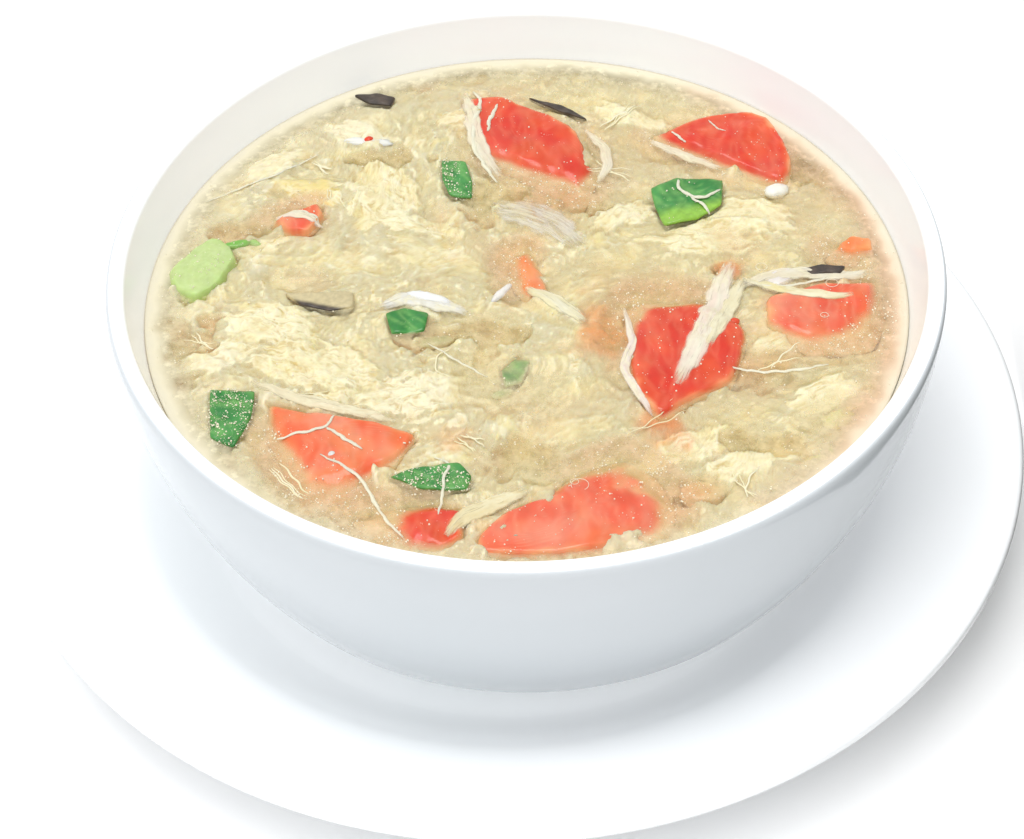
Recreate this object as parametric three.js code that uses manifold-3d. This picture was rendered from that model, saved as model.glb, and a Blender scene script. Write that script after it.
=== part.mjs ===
// Tomato egg soup in a white bowl on its under-plate.
// Millimetres, +Z up. The origin is under the middle of the plate, on the surface it stands on.
import * as THREE from 'three';
import { mergeVertices } from 'three/addons/utils/BufferGeometryUtils.js';
import Module from 'manifold-3d';

const wasm = await Module();
wasm.setup();

// Driving dimensions of the plate
const plateRadius = 109.5;
const plateRimTop = 25.4;
const plateLipThickness = 3.4;
const plateFloor = 5.5;
const plateUnderside = 1.5;
const wellRadius = 65;
const plateFootOuter = 65;
const plateFootInner = 59;
const plateSides = 56;

// Driving dimensions of the bowl, which stands a little to one side of the plate's middle
const bowlX = 3.9;
const bowlBase = plateFloor + 0.3;
const bowlHeight = 65;
const bowlRadius = 85;
const bowlRim = bowlBase + bowlHeight;
const bowlCurve = 0.0053;
const lipThickness = 3.7;
const wallThickness = 6.4;
const wallThickensOver = 10.6;
const bowlFootOuter = 50;
const bowlFootInner = 44;
const bowlFootHeight = 2.6;
const bowlFloorThickness = 5;
const bowlSides = 56;

// Driving dimensions of the soup and of what floats in it
const soupDepthBelowRim = 10.6;
const level = bowlRim - soupDepthBelowRim;
const soupSides = 36;
const gap = 0.35;
const eggRadius = 74;
const eggThickness = 7;
const eggStandsOut = 1.0;
const eggRelief = 0.55;
const eggSectors = 36;
const eggRingSpacing = 8.2;
const wellTop = level + 6;

const paint = (color, roughness) => new THREE.MeshStandardMaterial({ color, roughness, metalness: 0 });
const white = paint('#f4f6f6', 0.12);
const broth = paint('#dccfa0', 0.1);
const egg = paint('#f3eac0', 0.45);
const tomatoRed = paint('#e4553c', 0.3);
const tomatoOrange = paint('#f08a4e', 0.3);
const leafGreen = paint('#3f8f4a', 0.4);
const stalkGreen = paint('#c4d98e', 0.35);
const mushroomBrown = paint('#4a4238', 0.5);

// A repeatable scatter of numbers from 0 to 1
function scatter(seed) {
  let state = seed;
  return () => {
    state = (state * 1664525 + 1013904223) % 4294967296;
    return state / 4294967296;
  };
}

// A smooth uneven height from -1 to 1 over the plane, with hills about one unit wide
function hills(x, y) {
  const slow = Math.sin(1.7 * x + 0.6 * Math.sin(2.3 * y)) * Math.cos(1.9 * y - 0.8 * Math.sin(1.3 * x));
  const quick = Math.sin(3.7 * x + 1.1 * y + 1.9) * Math.sin(3.1 * y - 0.7 * x + 0.4);
  return 0.62 * slow + 0.38 * quick;
}

// A closed geometry becomes a solid that can be cut and joined
function solidOf(geometry) {
  const bare = geometry.clone();
  bare.deleteAttribute('normal');
  bare.deleteAttribute('uv');
  const welded = mergeVertices(bare, 1e-4);
  const index = welded.index.array;
  const corners = [];
  for (let i = 0; i < index.length; i += 3) {
    const [a, b, c] = [index[i], index[i + 1], index[i + 2]];
    if (a !== b && b !== c && c !== a) corners.push(a, b, c);
  }
  const vertProperties = new Float32Array(welded.attributes.position.array);
  const triVerts = new Uint32Array(corners);
  return new wasm.Manifold(new wasm.Mesh({ numProp: 3, vertProperties, triVerts }));
}

function geometryOf(solid) {
  const { vertProperties, triVerts } = solid.getMesh();
  const geometry = new THREE.BufferGeometry();
  geometry.setAttribute('position', new THREE.BufferAttribute(vertProperties, 3));
  geometry.setIndex(new THREE.BufferAttribute(triVerts, 1));
  return geometry;
}

function joined(solids) {
  return solids.reduce((whole, solid) => whole.add(solid));
}

// A turned body from a profile of [radius, height] that runs up the outside and down the inside
function turned(profile, sides, middleX) {
  const points = profile.map(([radius, height]) => new THREE.Vector2(radius, height));
  const geometry = new THREE.LatheGeometry(points, sides);
  geometry.rotateX(Math.PI / 2);
  geometry.translate(middleX, 0, 0);
  return geometryOf(solidOf(geometry));
}

// A closed body through rings of equal count, lowest first, ending in a point below and above
function lofted(rings, lowPoint, highPoint) {
  const count = rings[0].length;
  const positions = [];
  for (const point of [lowPoint, ...rings.flat(), highPoint]) positions.push(point.x, point.y, point.z);
  const last = rings.length * count + 1;
  const at = (ring, step) => 1 + ring * count + (step % count);
  const index = [];
  for (let step = 0; step < count; step += 1) {
    index.push(0, at(0, step + 1), at(0, step));
    index.push(last, at(rings.length - 1, step), at(rings.length - 1, step + 1));
    for (let ring = 0; ring + 1 < rings.length; ring += 1) {
      index.push(at(ring, step), at(ring, step + 1), at(ring + 1, step));
      index.push(at(ring, step + 1), at(ring + 1, step + 1), at(ring + 1, step));
    }
  }
  const geometry = new THREE.BufferGeometry();
  geometry.setAttribute('position', new THREE.Float32BufferAttribute(positions, 3));
  geometry.setIndex(index);
  return geometry;
}

// An upright column over an outline, from one height to another
function column(outline, from, to) {
  const middle = middleOf(outline);
  const rings = [ringAt(outline, middle, 1, () => from), ringAt(outline, middle, 1, () => to)];
  return solidOf(lofted(rings, middle.clone().setZ(from), middle.clone().setZ(to)));
}

// A rounded outline through a few corner points, measured from the bowl's axis, run anticlockwise
function outlineThrough(corners, count) {
  const points = corners.map(([x, y]) => new THREE.Vector3(bowlX + x, y, 0));
  const curve = new THREE.CatmullRomCurve3(points, true, 'catmullrom', 0.35);
  const outline = curve.getSpacedPoints(count).slice(0, count);
  let area = 0;
  outline.forEach((point, i) => {
    const next = outline[(i + 1) % count];
    area += point.x * next.y - next.x * point.y;
  });
  return area > 0 ? outline : outline.reverse();
}

function middleOf(outline) {
  const sum = outline.reduce((total, point) => total.add(point), new THREE.Vector3());
  return sum.divideScalar(outline.length);
}

// The same outline moved out by a distance, or in where it is negative
function grown(outline, distance) {
  return outline.map((point, i) => {
    const before = outline[(i + outline.length - 1) % outline.length];
    const after = outline[(i + 1) % outline.length];
    const along = after.clone().sub(before).normalize();
    return new THREE.Vector3(point.x + along.y * distance, point.y - along.x * distance, 0);
  });
}

function ringAt(outline, middle, scale, heightOf) {
  return outline.map((point) => {
    const x = middle.x + (point.x - middle.x) * scale;
    const y = middle.y + (point.y - middle.y) * scale;
    return new THREE.Vector3(x, y, heightOf(x, y));
  });
}

// A chunk that floats in the soup: flat or domed on top, narrower underneath
function chunk({ corners, count, rise, depth, dome, taper, lean }) {
  const outline = outlineThrough(corners, count);
  const middle = middleOf(outline);
  const [leanX, leanY] = lean;
  const topAt = (x, y) => level + rise + leanX * (x - middle.x) + leanY * (y - middle.y);
  const underside = level + rise - depth;
  const edge = Math.min(1.4, depth * 0.2);
  const shape = (outer, drop, head) => {
    const rings = [
      ringAt(outer, middle, taper, () => underside + edge * 0.5 - drop),
      ringAt(outer, middle, (1 + taper) / 2 + 0.1, () => underside + depth * 0.35 - drop),
      ringAt(outer, middle, 1, head ? () => level - edge : (x, y) => topAt(x, y) - edge),
      ringAt(outer, middle, head ? 1 : 0.9, head || topAt),
    ];
    const low = new THREE.Vector3(middle.x, middle.y, underside - drop);
    const high = new THREE.Vector3(middle.x, middle.y, head ? wellTop : topAt(middle.x, middle.y) + dome);
    return solidOf(lofted(rings, low, high));
  };
  const outer = grown(outline, gap);
  return {
    body: shape(outline, 0, null),
    well: shape(outer, gap, () => wellTop),
    shaft: column(outer, level - eggThickness - 1, wellTop),
  };
}

// A thin wavy piece, such as a leaf or a slice, with both faces alike
function slice({ corners, count, rise, thickness, wave, waveLength }) {
  const outline = outlineThrough(corners, count);
  const middle = middleOf(outline);
  const faceAt = (x, y) => level + rise + wave * hills(x / waveLength, y / waveLength);
  const under = (x, y) => faceAt(x, y) - thickness;
  const rings = [
    ringAt(outline, middle, 0.55, under),
    ringAt(outline, middle, 1, under),
    ringAt(outline, middle, 1, faceAt),
    ringAt(outline, middle, 0.55, faceAt),
  ];
  const low = new THREE.Vector3(middle.x, middle.y, under(middle.x, middle.y));
  const high = new THREE.Vector3(middle.x, middle.y, faceAt(middle.x, middle.y));
  const body = solidOf(lofted(rings, low, high));
  const well = column(grown(outline, gap), level + rise - thickness - wave - gap, wellTop);
  return { body, well, shaft: well };
}

// Plate: flat well, steep shoulder and a wide rim that slopes up to a rounded edge
function plateGeometry() {
  const lip = plateLipThickness / 2;
  return turned([
    [0, plateUnderside],
    [plateFootInner - 1, plateUnderside],
    [plateFootInner, 0],
    [plateFootOuter - 1, 0],
    [plateFootOuter + 1, 2],
    [76, 6.4],
    [85, 12.6],
    [98, plateRimTop - plateLipThickness - 3.4],
    [plateRadius - lip, plateRimTop - plateLipThickness],
    [plateRadius, plateRimTop - lip],
    [plateRadius - 0.5 * lip, plateRimTop - 0.2],
    [plateRadius - 1.5 * lip, plateRimTop],
    [98, plateRimTop - 3.2],
    [84, plateRimTop - 8.6],
    [76, 10.6],
    [70, 7],
    [wellRadius, plateFloor],
    [0, plateFloor],
  ], plateSides, 0);
}

// The bowl's outside narrows with the square of the depth below its rim
function outerRadius(depth) {
  return bowlRadius - bowlCurve * depth * depth;
}

function innerRadius(depth) {
  const thickening = Math.min(depth / wallThickensOver, 1);
  return outerRadius(depth) - lipThickness - (wallThickness - lipThickness) * thickening;
}

// The inside below the rim, as [radius, height] from the top down to the floor's middle
function innerProfile(fromDepth, inset, steps) {
  const lowestWall = 46;
  const floor = bowlBase + bowlFootHeight + bowlFloorThickness + inset;
  const profile = [];
  for (let step = 0; step <= steps; step += 1) {
    const depth = fromDepth + (lowestWall - fromDepth) * (step / steps);
    profile.push([innerRadius(depth) - inset, bowlRim - depth]);
  }
  const wallFoot = innerRadius(lowestWall) - inset;
  profile.push([wallFoot - 7, floor + 3.4]);
  profile.push([wallFoot - 17, floor + 0.5]);
  profile.push([wallFoot - 28, floor]);
  profile.push([0, floor]);
  return profile;
}

// Bowl: foot ring, round belly, rounded lip and a thick wall
function bowlGeometry() {
  const profile = [
    [0, bowlBase + 1.2],
    [bowlFootInner, bowlBase + 1.2],
    [bowlFootInner + 1, bowlBase],
    [bowlFootOuter - 1, bowlBase],
    [bowlFootOuter, bowlBase + bowlFootHeight],
    [60.5, bowlBase + bowlFootHeight + 1.9],
  ];
  const lowestWall = 57;
  const wallSteps = 5;
  for (let step = wallSteps; step >= 1; step -= 1) {
    const depth = lowestWall * (step / wallSteps) ** 1.1;
    profile.push([outerRadius(depth), bowlRim - depth]);
  }
  profile.push([bowlRadius, bowlRim - 1.6]);
  profile.push([bowlRadius - 0.9, bowlRim - 0.4]);
  profile.push([bowlRadius - lipThickness / 2, bowlRim]);
  profile.push([bowlRadius - lipThickness + 0.6, bowlRim - 0.5]);
  return turned([...profile, ...innerProfile(2, 0, 4)], bowlSides, bowlX);
}

// Broth: fills the bowl up to its level before the pieces are cut out of it
function brothSolid() {
  const inside = innerProfile(soupDepthBelowRim, gap, 3).reverse();
  const points = [...inside, [0, level]].map(([radius, height]) => new THREE.Vector2(radius, height));
  const geometry = new THREE.LatheGeometry(points, soupSides);
  geometry.rotateX(Math.PI / 2);
  geometry.translate(bowlX, 0, 0);
  return solidOf(geometry);
}

// Tomato pieces, with corners from the bowl's axis and how each one floats
const tomatoes = {
  tomato_back: {
    corners: [[-12.6, 64], [-6, 65], [4.6, 58.8], [12, 52], [16.2, 38.7], [13, 30], [3, 36], [-8, 43.8], [-11.4, 53]],
    count: 18, rise: 1.1, depth: 15, dome: 0.7, taper: 0.55, lean: [0, 0.006], material: tomatoRed,
  },
  tomato_back_right: {
    corners: [[28.2, 51.2], [39, 55.6], [49, 57], [55, 54.5], [58.7, 40], [55.8, 32], [44, 38.5], [31.1, 46.6]],
    count: 18, rise: 1.1, depth: 13, dome: 0.8, taper: 0.55, lean: [0.006, 0], material: tomatoRed,
  },
  tomato_middle: {
    corners: [[21.1, -1], [36.5, -1.2], [44.8, -12], [40.5, -27], [32.3, -31.8], [26, -36.2], [21.8, -31], [19.4, -20]],
    count: 18, rise: 1.1, depth: 17, dome: 0.8, taper: 0.5, lean: [0, 0], material: tomatoRed,
  },
  tomato_right: {
    corners: [[49.3, -2.5], [60.7, 1.3], [72.6, 2.6], [73.2, -8], [69.6, -15.8], [56, -17], [49, -10]],
    count: 16, rise: 0.7, depth: 12, dome: 0.5, taper: 0.5, lean: [0, 0], material: tomatoRed,
  },
  tomato_left: {
    corners: [[-54.1, 25.2], [-50, 28.2], [-43.7, 30], [-42, 25.5], [-45.4, 20], [-50.6, 20.2]],
    count: 12, rise: 0.9, depth: 7, dome: 0.5, taper: 0.6, lean: [0, 0], material: tomatoOrange,
  },
  tomato_front_left: {
    corners: [[-52.2, -28.4], [-43, -31.4], [-31, -35.2], [-22, -39.2], [-26, -47], [-36, -54.6], [-43.9, -55.2],
      [-47.6, -46], [-51.4, -38]],
    count: 18, rise: 1.1, depth: 15, dome: 0.6, taper: 0.55, lean: [0, 0], material: tomatoOrange,
  },
  tomato_front: {
    corners: [[-34, -59.2], [-27, -56.3], [-18.8, -55.8], [-12.2, -58.6], [-12.8, -66], [-17.3, -69.4], [-28.6, -66.4]],
    count: 16, rise: 0.8, depth: 12, dome: 0.5, taper: 0.55, lean: [0, 0], material: tomatoRed,
  },
  tomato_front_right: {
    corners: [[-10.4, -66], [-5.8, -60.8], [3, -55], [10, -48.4], [18.5, -44.4], [24.3, -49.3], [27.6, -58],
      [26, -65.6], [14, -70.4], [1.6, -71.4], [-9.6, -70.6]],
    count: 20, rise: 1.0, depth: 16, dome: 0.6, taper: 0.55, lean: [0, 0], material: tomatoOrange,
  },
  tomato_far_right: {
    corners: [[63, 11.6], [68, 15.8], [72.6, 14.6], [73, 10.6], [67.8, 8.8]],
    count: 12, rise: 0.7, depth: 6, dome: 0.3, taper: 0.6, lean: [0, 0], material: tomatoOrange,
  },
  tomato_scrap: {
    corners: [[-3.2, 13.5], [1.1, 15], [3.6, 8.2], [4.8, 1], [0, -1.4], [-3, 5.8]],
    count: 12, rise: 0.6, depth: 6, dome: 0.3, taper: 0.6, lean: [0, 0], material: tomatoOrange,
  },
};

// Pieces of vegetable: one thick pale stalk, and thin leaves and mushroom slices that lie on the surface
const stalk = {
  corners: [[-75, 9], [-70.4, 15.6], [-66, 19.3], [-61.5, 16.6], [-60, 12], [-62.8, 4.9], [-67.6, 0.2], [-72.9, 2.6]],
  count: 16, rise: 1.2, depth: 6.5, dome: 0.5, taper: 0.7, lean: [0, 0],
};
const leaves = {
  leaf_back_left: [[-17.6, 43], [-12.4, 41.6], [-11, 35], [-11.1, 29.8], [-15.8, 31.2], [-17.4, 37]],
  leaf_back_right: [[27.4, 31.7], [33.1, 34.6], [42.8, 34], [42, 26], [36.5, 21.6], [29.7, 19.9], [28, 25.9]],
  leaf_middle: [[-28.6, -5.4], [-24.8, -3.7], [-20, -5.3], [-20.8, -10.4], [-27.3, -10.9]],
  leaf_small: [[-5.2, -21.2], [-2.4, -17.9], [0.6, -18.6], [-1.2, -24.6], [-4.5, -25.8]],
  leaf_left: [[-63, -26], [-54.2, -27], [-54.6, -34], [-57.4, -41.7], [-62.1, -39]],
  leaf_front: [[-26.6, -50.4], [-22.3, -48.4], [-13.8, -47.4], [-11.2, -51], [-12.2, -54.3], [-20.5, -53.9]],
};
const mushrooms = {
  mushroom_back_left: [[-37.2, 65.8], [-32.9, 66.7], [-28.2, 64.8], [-29.2, 62.2], [-33.9, 63]],
  mushroom_back: [[1.8, 63.6], [8.6, 61], [14.4, 55.8], [9.6, 58]],
  mushroom_left: [[-49.5, 1.6], [-43, 1.4], [-35.6, 1.5], [-35.4, -2.8], [-40.2, -3.8], [-46, -1.9]],
  mushroom_right: [[57.3, 5.4], [61.3, 6.6], [66.2, 5.8], [65, 3.7], [59, 3.8]],
};

// Egg: a floating mat of curd with an uneven edge, open where the clear broth shows
const pools = [
  [-69, -10, 7, 9.5], [-6, -12, 9, 6.5], [45, -45, 7, 4.5], [57, -42, 7, 5], [-16, 22, 6.5, 7.5],
  [12, 24, 8.5, 5], [-62, 35, 6, 3.5], [62, 26, 6, 4], [-2, -37, 7, 5.5], [-66, -22, 4.5, 3],
];

function eggEdge(angle) {
  return eggRadius + 1.5 * Math.sin(5 * angle + 0.8) + 0.9 * Math.sin(11 * angle) - 0.8;
}

function eggRing(radiusOf, heightOf, sectors) {
  return Array.from({ length: sectors }, (_, step) => {
    const angle = (2 * Math.PI * step) / sectors;
    const radius = radiusOf(angle);
    const x = bowlX + radius * Math.cos(angle);
    const y = radius * Math.sin(angle);
    return new THREE.Vector3(x, y, heightOf(x, y));
  });
}

function eggTop(x, y) {
  return level + eggStandsOut + eggRelief * hills(x / 6.5, y / 6.5);
}

function eggMat() {
  const floor = level - eggThickness;
  const ringCount = Math.round(eggRadius / eggRingSpacing);
  const rings = [eggRing(eggEdge, () => floor, eggSectors)];
  for (let ring = ringCount; ring >= 1; ring -= 1) {
    rings.push(eggRing((angle) => (eggEdge(angle) * ring) / ringCount, eggTop, eggSectors));
  }
  const low = new THREE.Vector3(bowlX, 0, floor);
  const high = new THREE.Vector3(bowlX, 0, eggTop(bowlX, 0));
  return solidOf(lofted(rings, low, high));
}

// The room that the mat takes out of the broth
function eggPocket() {
  const floor = level - eggThickness - gap;
  const edge = (angle) => eggEdge(angle) + gap;
  const rings = [eggRing(edge, () => floor, eggSectors), eggRing(edge, () => wellTop, eggSectors)];
  const low = new THREE.Vector3(bowlX, 0, floor);
  const high = new THREE.Vector3(bowlX, 0, wellTop);
  return solidOf(lofted(rings, low, high));
}

// A column of clear broth that comes up through the mat
function poolColumn([x, y, halfWide, halfLong], inset) {
  const sides = 9;
  const floor = level - eggThickness - 2;
  const radiusAt = (angle) => 1 + 0.16 * Math.sin(3 * angle + x) + 0.1 * Math.sin(5 * angle + y);
  const ring = (height) => Array.from({ length: sides }, (_, step) => {
    const angle = (2 * Math.PI * step) / sides;
    const across = (halfWide - inset) * radiusAt(angle) * Math.cos(angle);
    const along = (halfLong - inset) * radiusAt(angle) * Math.sin(angle);
    return new THREE.Vector3(bowlX + x + across, y + along, height);
  });
  const low = new THREE.Vector3(bowlX + x, y, floor);
  const high = new THREE.Vector3(bowlX + x, y, wellTop);
  return solidOf(lofted([ring(floor), ring(wellTop)], low, high));
}

// A strand of egg: a flat band along a bent path, thin at both ends
function strand(path, width, thickness) {
  const steps = 4;
  const curve = new THREE.CatmullRomCurve3(path);
  const rings = [];
  for (let step = 0; step <= steps; step += 1) {
    const t = step / steps;
    const point = curve.getPointAt(t);
    const along = curve.getTangentAt(t);
    const side = new THREE.Vector3(-along.y, along.x, 0).normalize();
    const half = 0.5 * width * (0.45 + 0.55 * Math.sin(Math.PI * t));
    const corner = (across, up) => point.clone().addScaledVector(side, across).setZ(point.z + up);
    rings.push([corner(-half, 0), corner(half, 0), corner(0.2 * half, thickness)]);
  }
  return solidOf(lofted(rings, curve.getPointAt(0), curve.getPointAt(1)));
}

// A torn sheet of egg that lies on the mat, with a raised fold across it
function sheet(x, y, length, width, turn, height) {
  const sides = 7;
  const place = (radius, angle, up) => {
    const along = 0.5 * length * radius * Math.cos(angle);
    const across = 0.5 * width * radius * Math.sin(angle);
    const px = bowlX + x + along * Math.cos(turn) - across * Math.sin(turn);
    const py = y + along * Math.sin(turn) + across * Math.cos(turn);
    return new THREE.Vector3(px, py, up);
  };
  const torn = (step) => 1 + 0.16 * Math.sin(2.4 * step + x) + 0.12 * Math.sin(4.1 * step + y);
  const ring = (scale, up) => Array.from({ length: sides }, (_, step) => {
    const angle = (2 * Math.PI * step) / sides;
    return place(scale * torn(step), angle, up + 0.25 * Math.sin(3 * angle + x));
  });
  const rings = [ring(1, level + 0.7), ring(0.62, level + height * 0.8)];
  return solidOf(lofted(rings, place(0, 0, level + 0.5), place(0, 0, level + height)));
}

function looseStrands() {
  const random = scatter(11);
  const strands = [];
  const strandCount = 22;
  for (let i = 0; i < strandCount; i += 1) {
    const radius = 66 * Math.sqrt(random());
    const angle = 2 * Math.PI * random();
    const length = 14 + 18 * random();
    const heading = angle + Math.PI / 2 + 1.3 * (random() - 0.5);
    const bend = 1.4 * (random() - 0.5);
    const width = 2.6 + 2.6 * random();
    const start = new THREE.Vector2(radius * Math.cos(angle), radius * Math.sin(angle));
    const path = [0, 1, 2, 3].map((step) => {
      const direction = heading + (bend * step) / 3;
      const reach = (length * step) / 3;
      const x = bowlX + start.x + reach * Math.cos(direction);
      const y = start.y + reach * Math.sin(direction);
      return new THREE.Vector3(x, y, level + (step % 3 === 0 ? 0.6 : 1.05));
    });
    strands.push({ path, width });
  }
  const inside = ({ path }) => path.every((point) => Math.hypot(point.x - bowlX, point.y) < eggRadius - 4);
  return strands.filter(inside).map(({ path, width }) => strand(path, width, 1.3));
}

function looseSheets() {
  const random = scatter(29);
  const sheets = [];
  const sheetCount = 12;
  for (let i = 0; i < sheetCount; i += 1) {
    const radius = 62 * Math.sqrt(random());
    const angle = 2 * Math.PI * random();
    const length = 9 + 9 * random();
    const width = 5 + 5 * random();
    const turn = Math.PI * random();
    sheets.push(sheet(radius * Math.cos(angle), radius * Math.sin(angle), length, width, turn, 1.9 + 0.6 * random()));
  }
  return sheets;
}

// The sheets that stand out most: [x, y, length, width, turn, height]
const largeSheets = [
  [-25, 31, 22, 19, 1.3, 2.7], [-22, -31, 22, 13, 0.4, 2.6], [-45, -18, 26, 16, -0.5, 2.4],
  [-58, -14, 16, 12, 0.3, 2.3], [40, 18, 20, 12, 0.2, 2.3], [-36, 52, 18, 12, -0.4, 2.4],
];

// The broad strand that bridges the middle tomato piece, from the mat on one side to the mat on the other
const bridgeWidth = 7;
const bridgeOver = [[40.5, 5.5], [38.6, -4], [36.4, -15], [31, -27], [25.5, -42.5]];

function bridge() {
  const path = bridgeOver.map(([x, y], i) => {
    const end = i === 0 || i === bridgeOver.length - 1;
    return new THREE.Vector3(bowlX + x, y, level + (end ? 0.75 : 2.6));
  });
  return strand(path, bridgeWidth, 1);
}

// What floats is made first, because each piece is cut out of the egg and the broth
const floating = {};
for (const [name, tomato] of Object.entries(tomatoes)) {
  floating[name] = { ...chunk(tomato), material: tomato.material };
}
floating.stalk = { ...chunk(stalk), material: stalkGreen };
for (const [name, corners] of Object.entries(leaves)) {
  const shape = { corners, count: 12, rise: 1.1, thickness: 0.8, wave: 0.45, waveLength: 4 };
  floating[name] = { ...slice(shape), material: leafGreen };
}
for (const [name, corners] of Object.entries(mushrooms)) {
  const shape = { corners, count: 10, rise: 1.2, thickness: 1.2, wave: 0.3, waveLength: 5 };
  floating[name] = { ...slice(shape), material: mushroomBrown };
}

const wells = joined(Object.values(floating).map(({ well }) => well));
const shafts = joined(Object.values(floating).map(({ shaft }) => shaft));
const openPools = joined(pools.map((pool) => poolColumn(pool, 0)));
const brothPools = joined(pools.map((pool) => poolColumn(pool, gap)));
const curd = joined([eggMat().subtract(openPools), ...looseStrands(), ...looseSheets(),
  ...largeSheets.map((shape) => sheet(...shape))]);
const cutCurd = curd.subtract(shafts).add(bridge());
const wholeCurd = cutCurd.decompose().sort((a, b) => b.volume() - a.volume())[0];
const soup = brothSolid().subtract(eggPocket().subtract(brothPools)).subtract(wells);

const soupBowl = new THREE.Group();

function place(name, geometry, material) {
  const mesh = new THREE.Mesh(geometry, material);
  mesh.name = name;
  soupBowl.add(mesh);
}

place('plate', plateGeometry(), white);
place('bowl', bowlGeometry(), white);
place('soup', geometryOf(soup), broth);
place('egg_curd', geometryOf(wholeCurd), egg);
for (const [name, { body, material }] of Object.entries(floating)) place(name, geometryOf(body), material);

export default soupBowl;
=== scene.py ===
"""Tomato egg soup in a white glazed bowl on its under-plate.

Sizes are in millimetres in the row's frame, and places on the soup are measured from the bowl's axis.
"""
import math

import bpy
import numpy as np
from mathutils import Matrix, Vector


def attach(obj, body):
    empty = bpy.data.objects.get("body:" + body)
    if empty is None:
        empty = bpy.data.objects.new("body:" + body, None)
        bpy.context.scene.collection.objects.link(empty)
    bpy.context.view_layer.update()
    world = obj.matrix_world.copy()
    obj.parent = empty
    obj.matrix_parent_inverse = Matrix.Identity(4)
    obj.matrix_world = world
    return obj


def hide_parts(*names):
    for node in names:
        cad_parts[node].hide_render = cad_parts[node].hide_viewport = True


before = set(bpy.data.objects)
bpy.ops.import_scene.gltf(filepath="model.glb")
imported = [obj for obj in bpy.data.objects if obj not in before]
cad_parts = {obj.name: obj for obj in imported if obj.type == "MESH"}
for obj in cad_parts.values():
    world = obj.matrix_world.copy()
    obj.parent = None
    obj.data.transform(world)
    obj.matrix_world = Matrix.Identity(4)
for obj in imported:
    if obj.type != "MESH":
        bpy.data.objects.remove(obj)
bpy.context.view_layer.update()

# Driving dimensions, as in the part
MM = 0.001
PLATE_RADIUS = 109.5
PLATE_RIM_TOP = 25.4
PLATE_LIP = 3.4
PLATE_FLOOR = 5.5
PLATE_UNDERSIDE = 1.5
WELL_RADIUS = 65.0
PLATE_FOOT_OUTER = 65.0
PLATE_FOOT_INNER = 59.0
BOWL_X = 3.9
BOWL_BASE = PLATE_FLOOR + 0.3
BOWL_HEIGHT = 65.0
BOWL_RADIUS = 85.0
BOWL_RIM = BOWL_BASE + BOWL_HEIGHT
BOWL_CURVE = 0.0053
LIP_THICKNESS = 3.7
WALL_THICKNESS = 6.4
WALL_THICKENS_OVER = 10.6
BOWL_FOOT_OUTER = 50.0
BOWL_FOOT_INNER = 44.0
BOWL_FOOT_HEIGHT = 2.6
BOWL_FLOOR_THICKNESS = 5.0
SOUP_BELOW_RIM = 10.6
LEVEL = BOWL_RIM - SOUP_BELOW_RIM
EGG_THICKNESS = 7.0
SOUP_DEEPEST = 46.0
INTO_WALL = 0.2
TURNED_SIDES = 192
FROM_AXIS = np.array([BOWL_X, 0, 0])

# Colours of the real things, as they look in white light; the egg's hollow shade is painted shade, and the
# broth by the wall is partly painted light
BROTH_STRAW = "#E9DAB0"
BROTH_DEEP = "#DAC38C"
BROTH_HAZE = ("#E9D9A0", "#EFDCA4", "#F0D2A2")
BROTH_TAN = "#F0DAA6"
# Pale broth by the wall, partly white glaze seen through and partly painted light
BROTH_BY_WALL_WITH_PAINTED_LIGHT = "#F4EAC8"
BROTH_MILKY = "#F2E6BC"
BROTH_BLUSH = "#EFB694"
EGG_CREAM = "#F0E7BC"
EGG_WHITE = "#F1EBCC"
EGG_YELLOW = "#EBD88F"
# Painted shade: the deeper yellow given to the egg's hollows
EGG_HOLLOW_SHADE = "#D2B66E"
EGG_GOLD = "#F0E2A2"
TOMATO_RED = "#DC3217"
TOMATO_ORANGE = "#EA6826"
TOMATO_PALE = "#F28C66"
STALK_PALE = "#C2D68C"
LEAF_DARK = "#2A7F35"
MUSHROOM_DARK = "#3D332C"
MUSHROOM_BEIGE = "#CDBE93"
FOAM_PALE = "#FFF6DC"
FLOOR_PALE = "#FBFBFB"


def linear(hex_colour):
    """A colour written as sRGB hex, as linear red, green, blue and one."""
    values = [int(hex_colour[i:i + 2], 16) / 255 for i in (1, 3, 5)]
    return tuple(v / 12.92 if v <= 0.04045 else ((v + 0.055) / 1.055) ** 2.4 for v in values) + (1.0,)


def rgb(hex_colour):
    return np.array(linear(hex_colour)[:3])


def blend(low, high, share):
    """Colours from low at 0 to high at 1; each is a hex value or an array of linear colours."""
    low, high = (rgb(tone) if isinstance(tone, str) else tone for tone in (low, high))
    share = np.asarray(share)[..., None]
    return low * (1 - share) + high * share


# Uneven shapes: smooth noise over the plane, one hill for each unit
def hills(x, y, seed):
    shuffled = np.random.RandomState(seed).permutation(256)
    column = np.floor(x).astype(int)
    row = np.floor(y).astype(int)
    across = x - column
    along = y - row

    def corner(step_x, step_y):
        mixed = shuffled[(shuffled[(column + step_x) & 255] + row + step_y) & 255]
        angle = mixed * (2 * math.pi / 256)
        return np.cos(angle) * (across - step_x) + np.sin(angle) * (along - step_y)

    ease_x = across ** 3 * (across * (across * 6 - 15) + 10)
    ease_y = along ** 3 * (along * (along * 6 - 15) + 10)
    near = corner(0, 0) * (1 - ease_x) + corner(1, 0) * ease_x
    far = corner(0, 1) * (1 - ease_x) + corner(1, 1) * ease_x
    return 1.4 * (near * (1 - ease_y) + far * ease_y)


def layered(x, y, seed, layers=3):
    total = np.zeros_like(x)
    for layer in range(layers):
        size = 2.0 ** layer
        total += hills(x * size, y * size, seed + layer) / size
    return total


def creases(x, y, seed):
    """Sharp ridges from 0 to 1 between smooth hollows."""
    return np.clip(1 - 2.2 * np.abs(hills(x, y, seed)), 0, 1) ** 1.6


def eased(value, low, high):
    """0 below low and 1 above high, with a smooth climb between them."""
    t = np.clip((value - low) / (high - low), 0, 1)
    return t * t * (3 - 2 * t)


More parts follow.
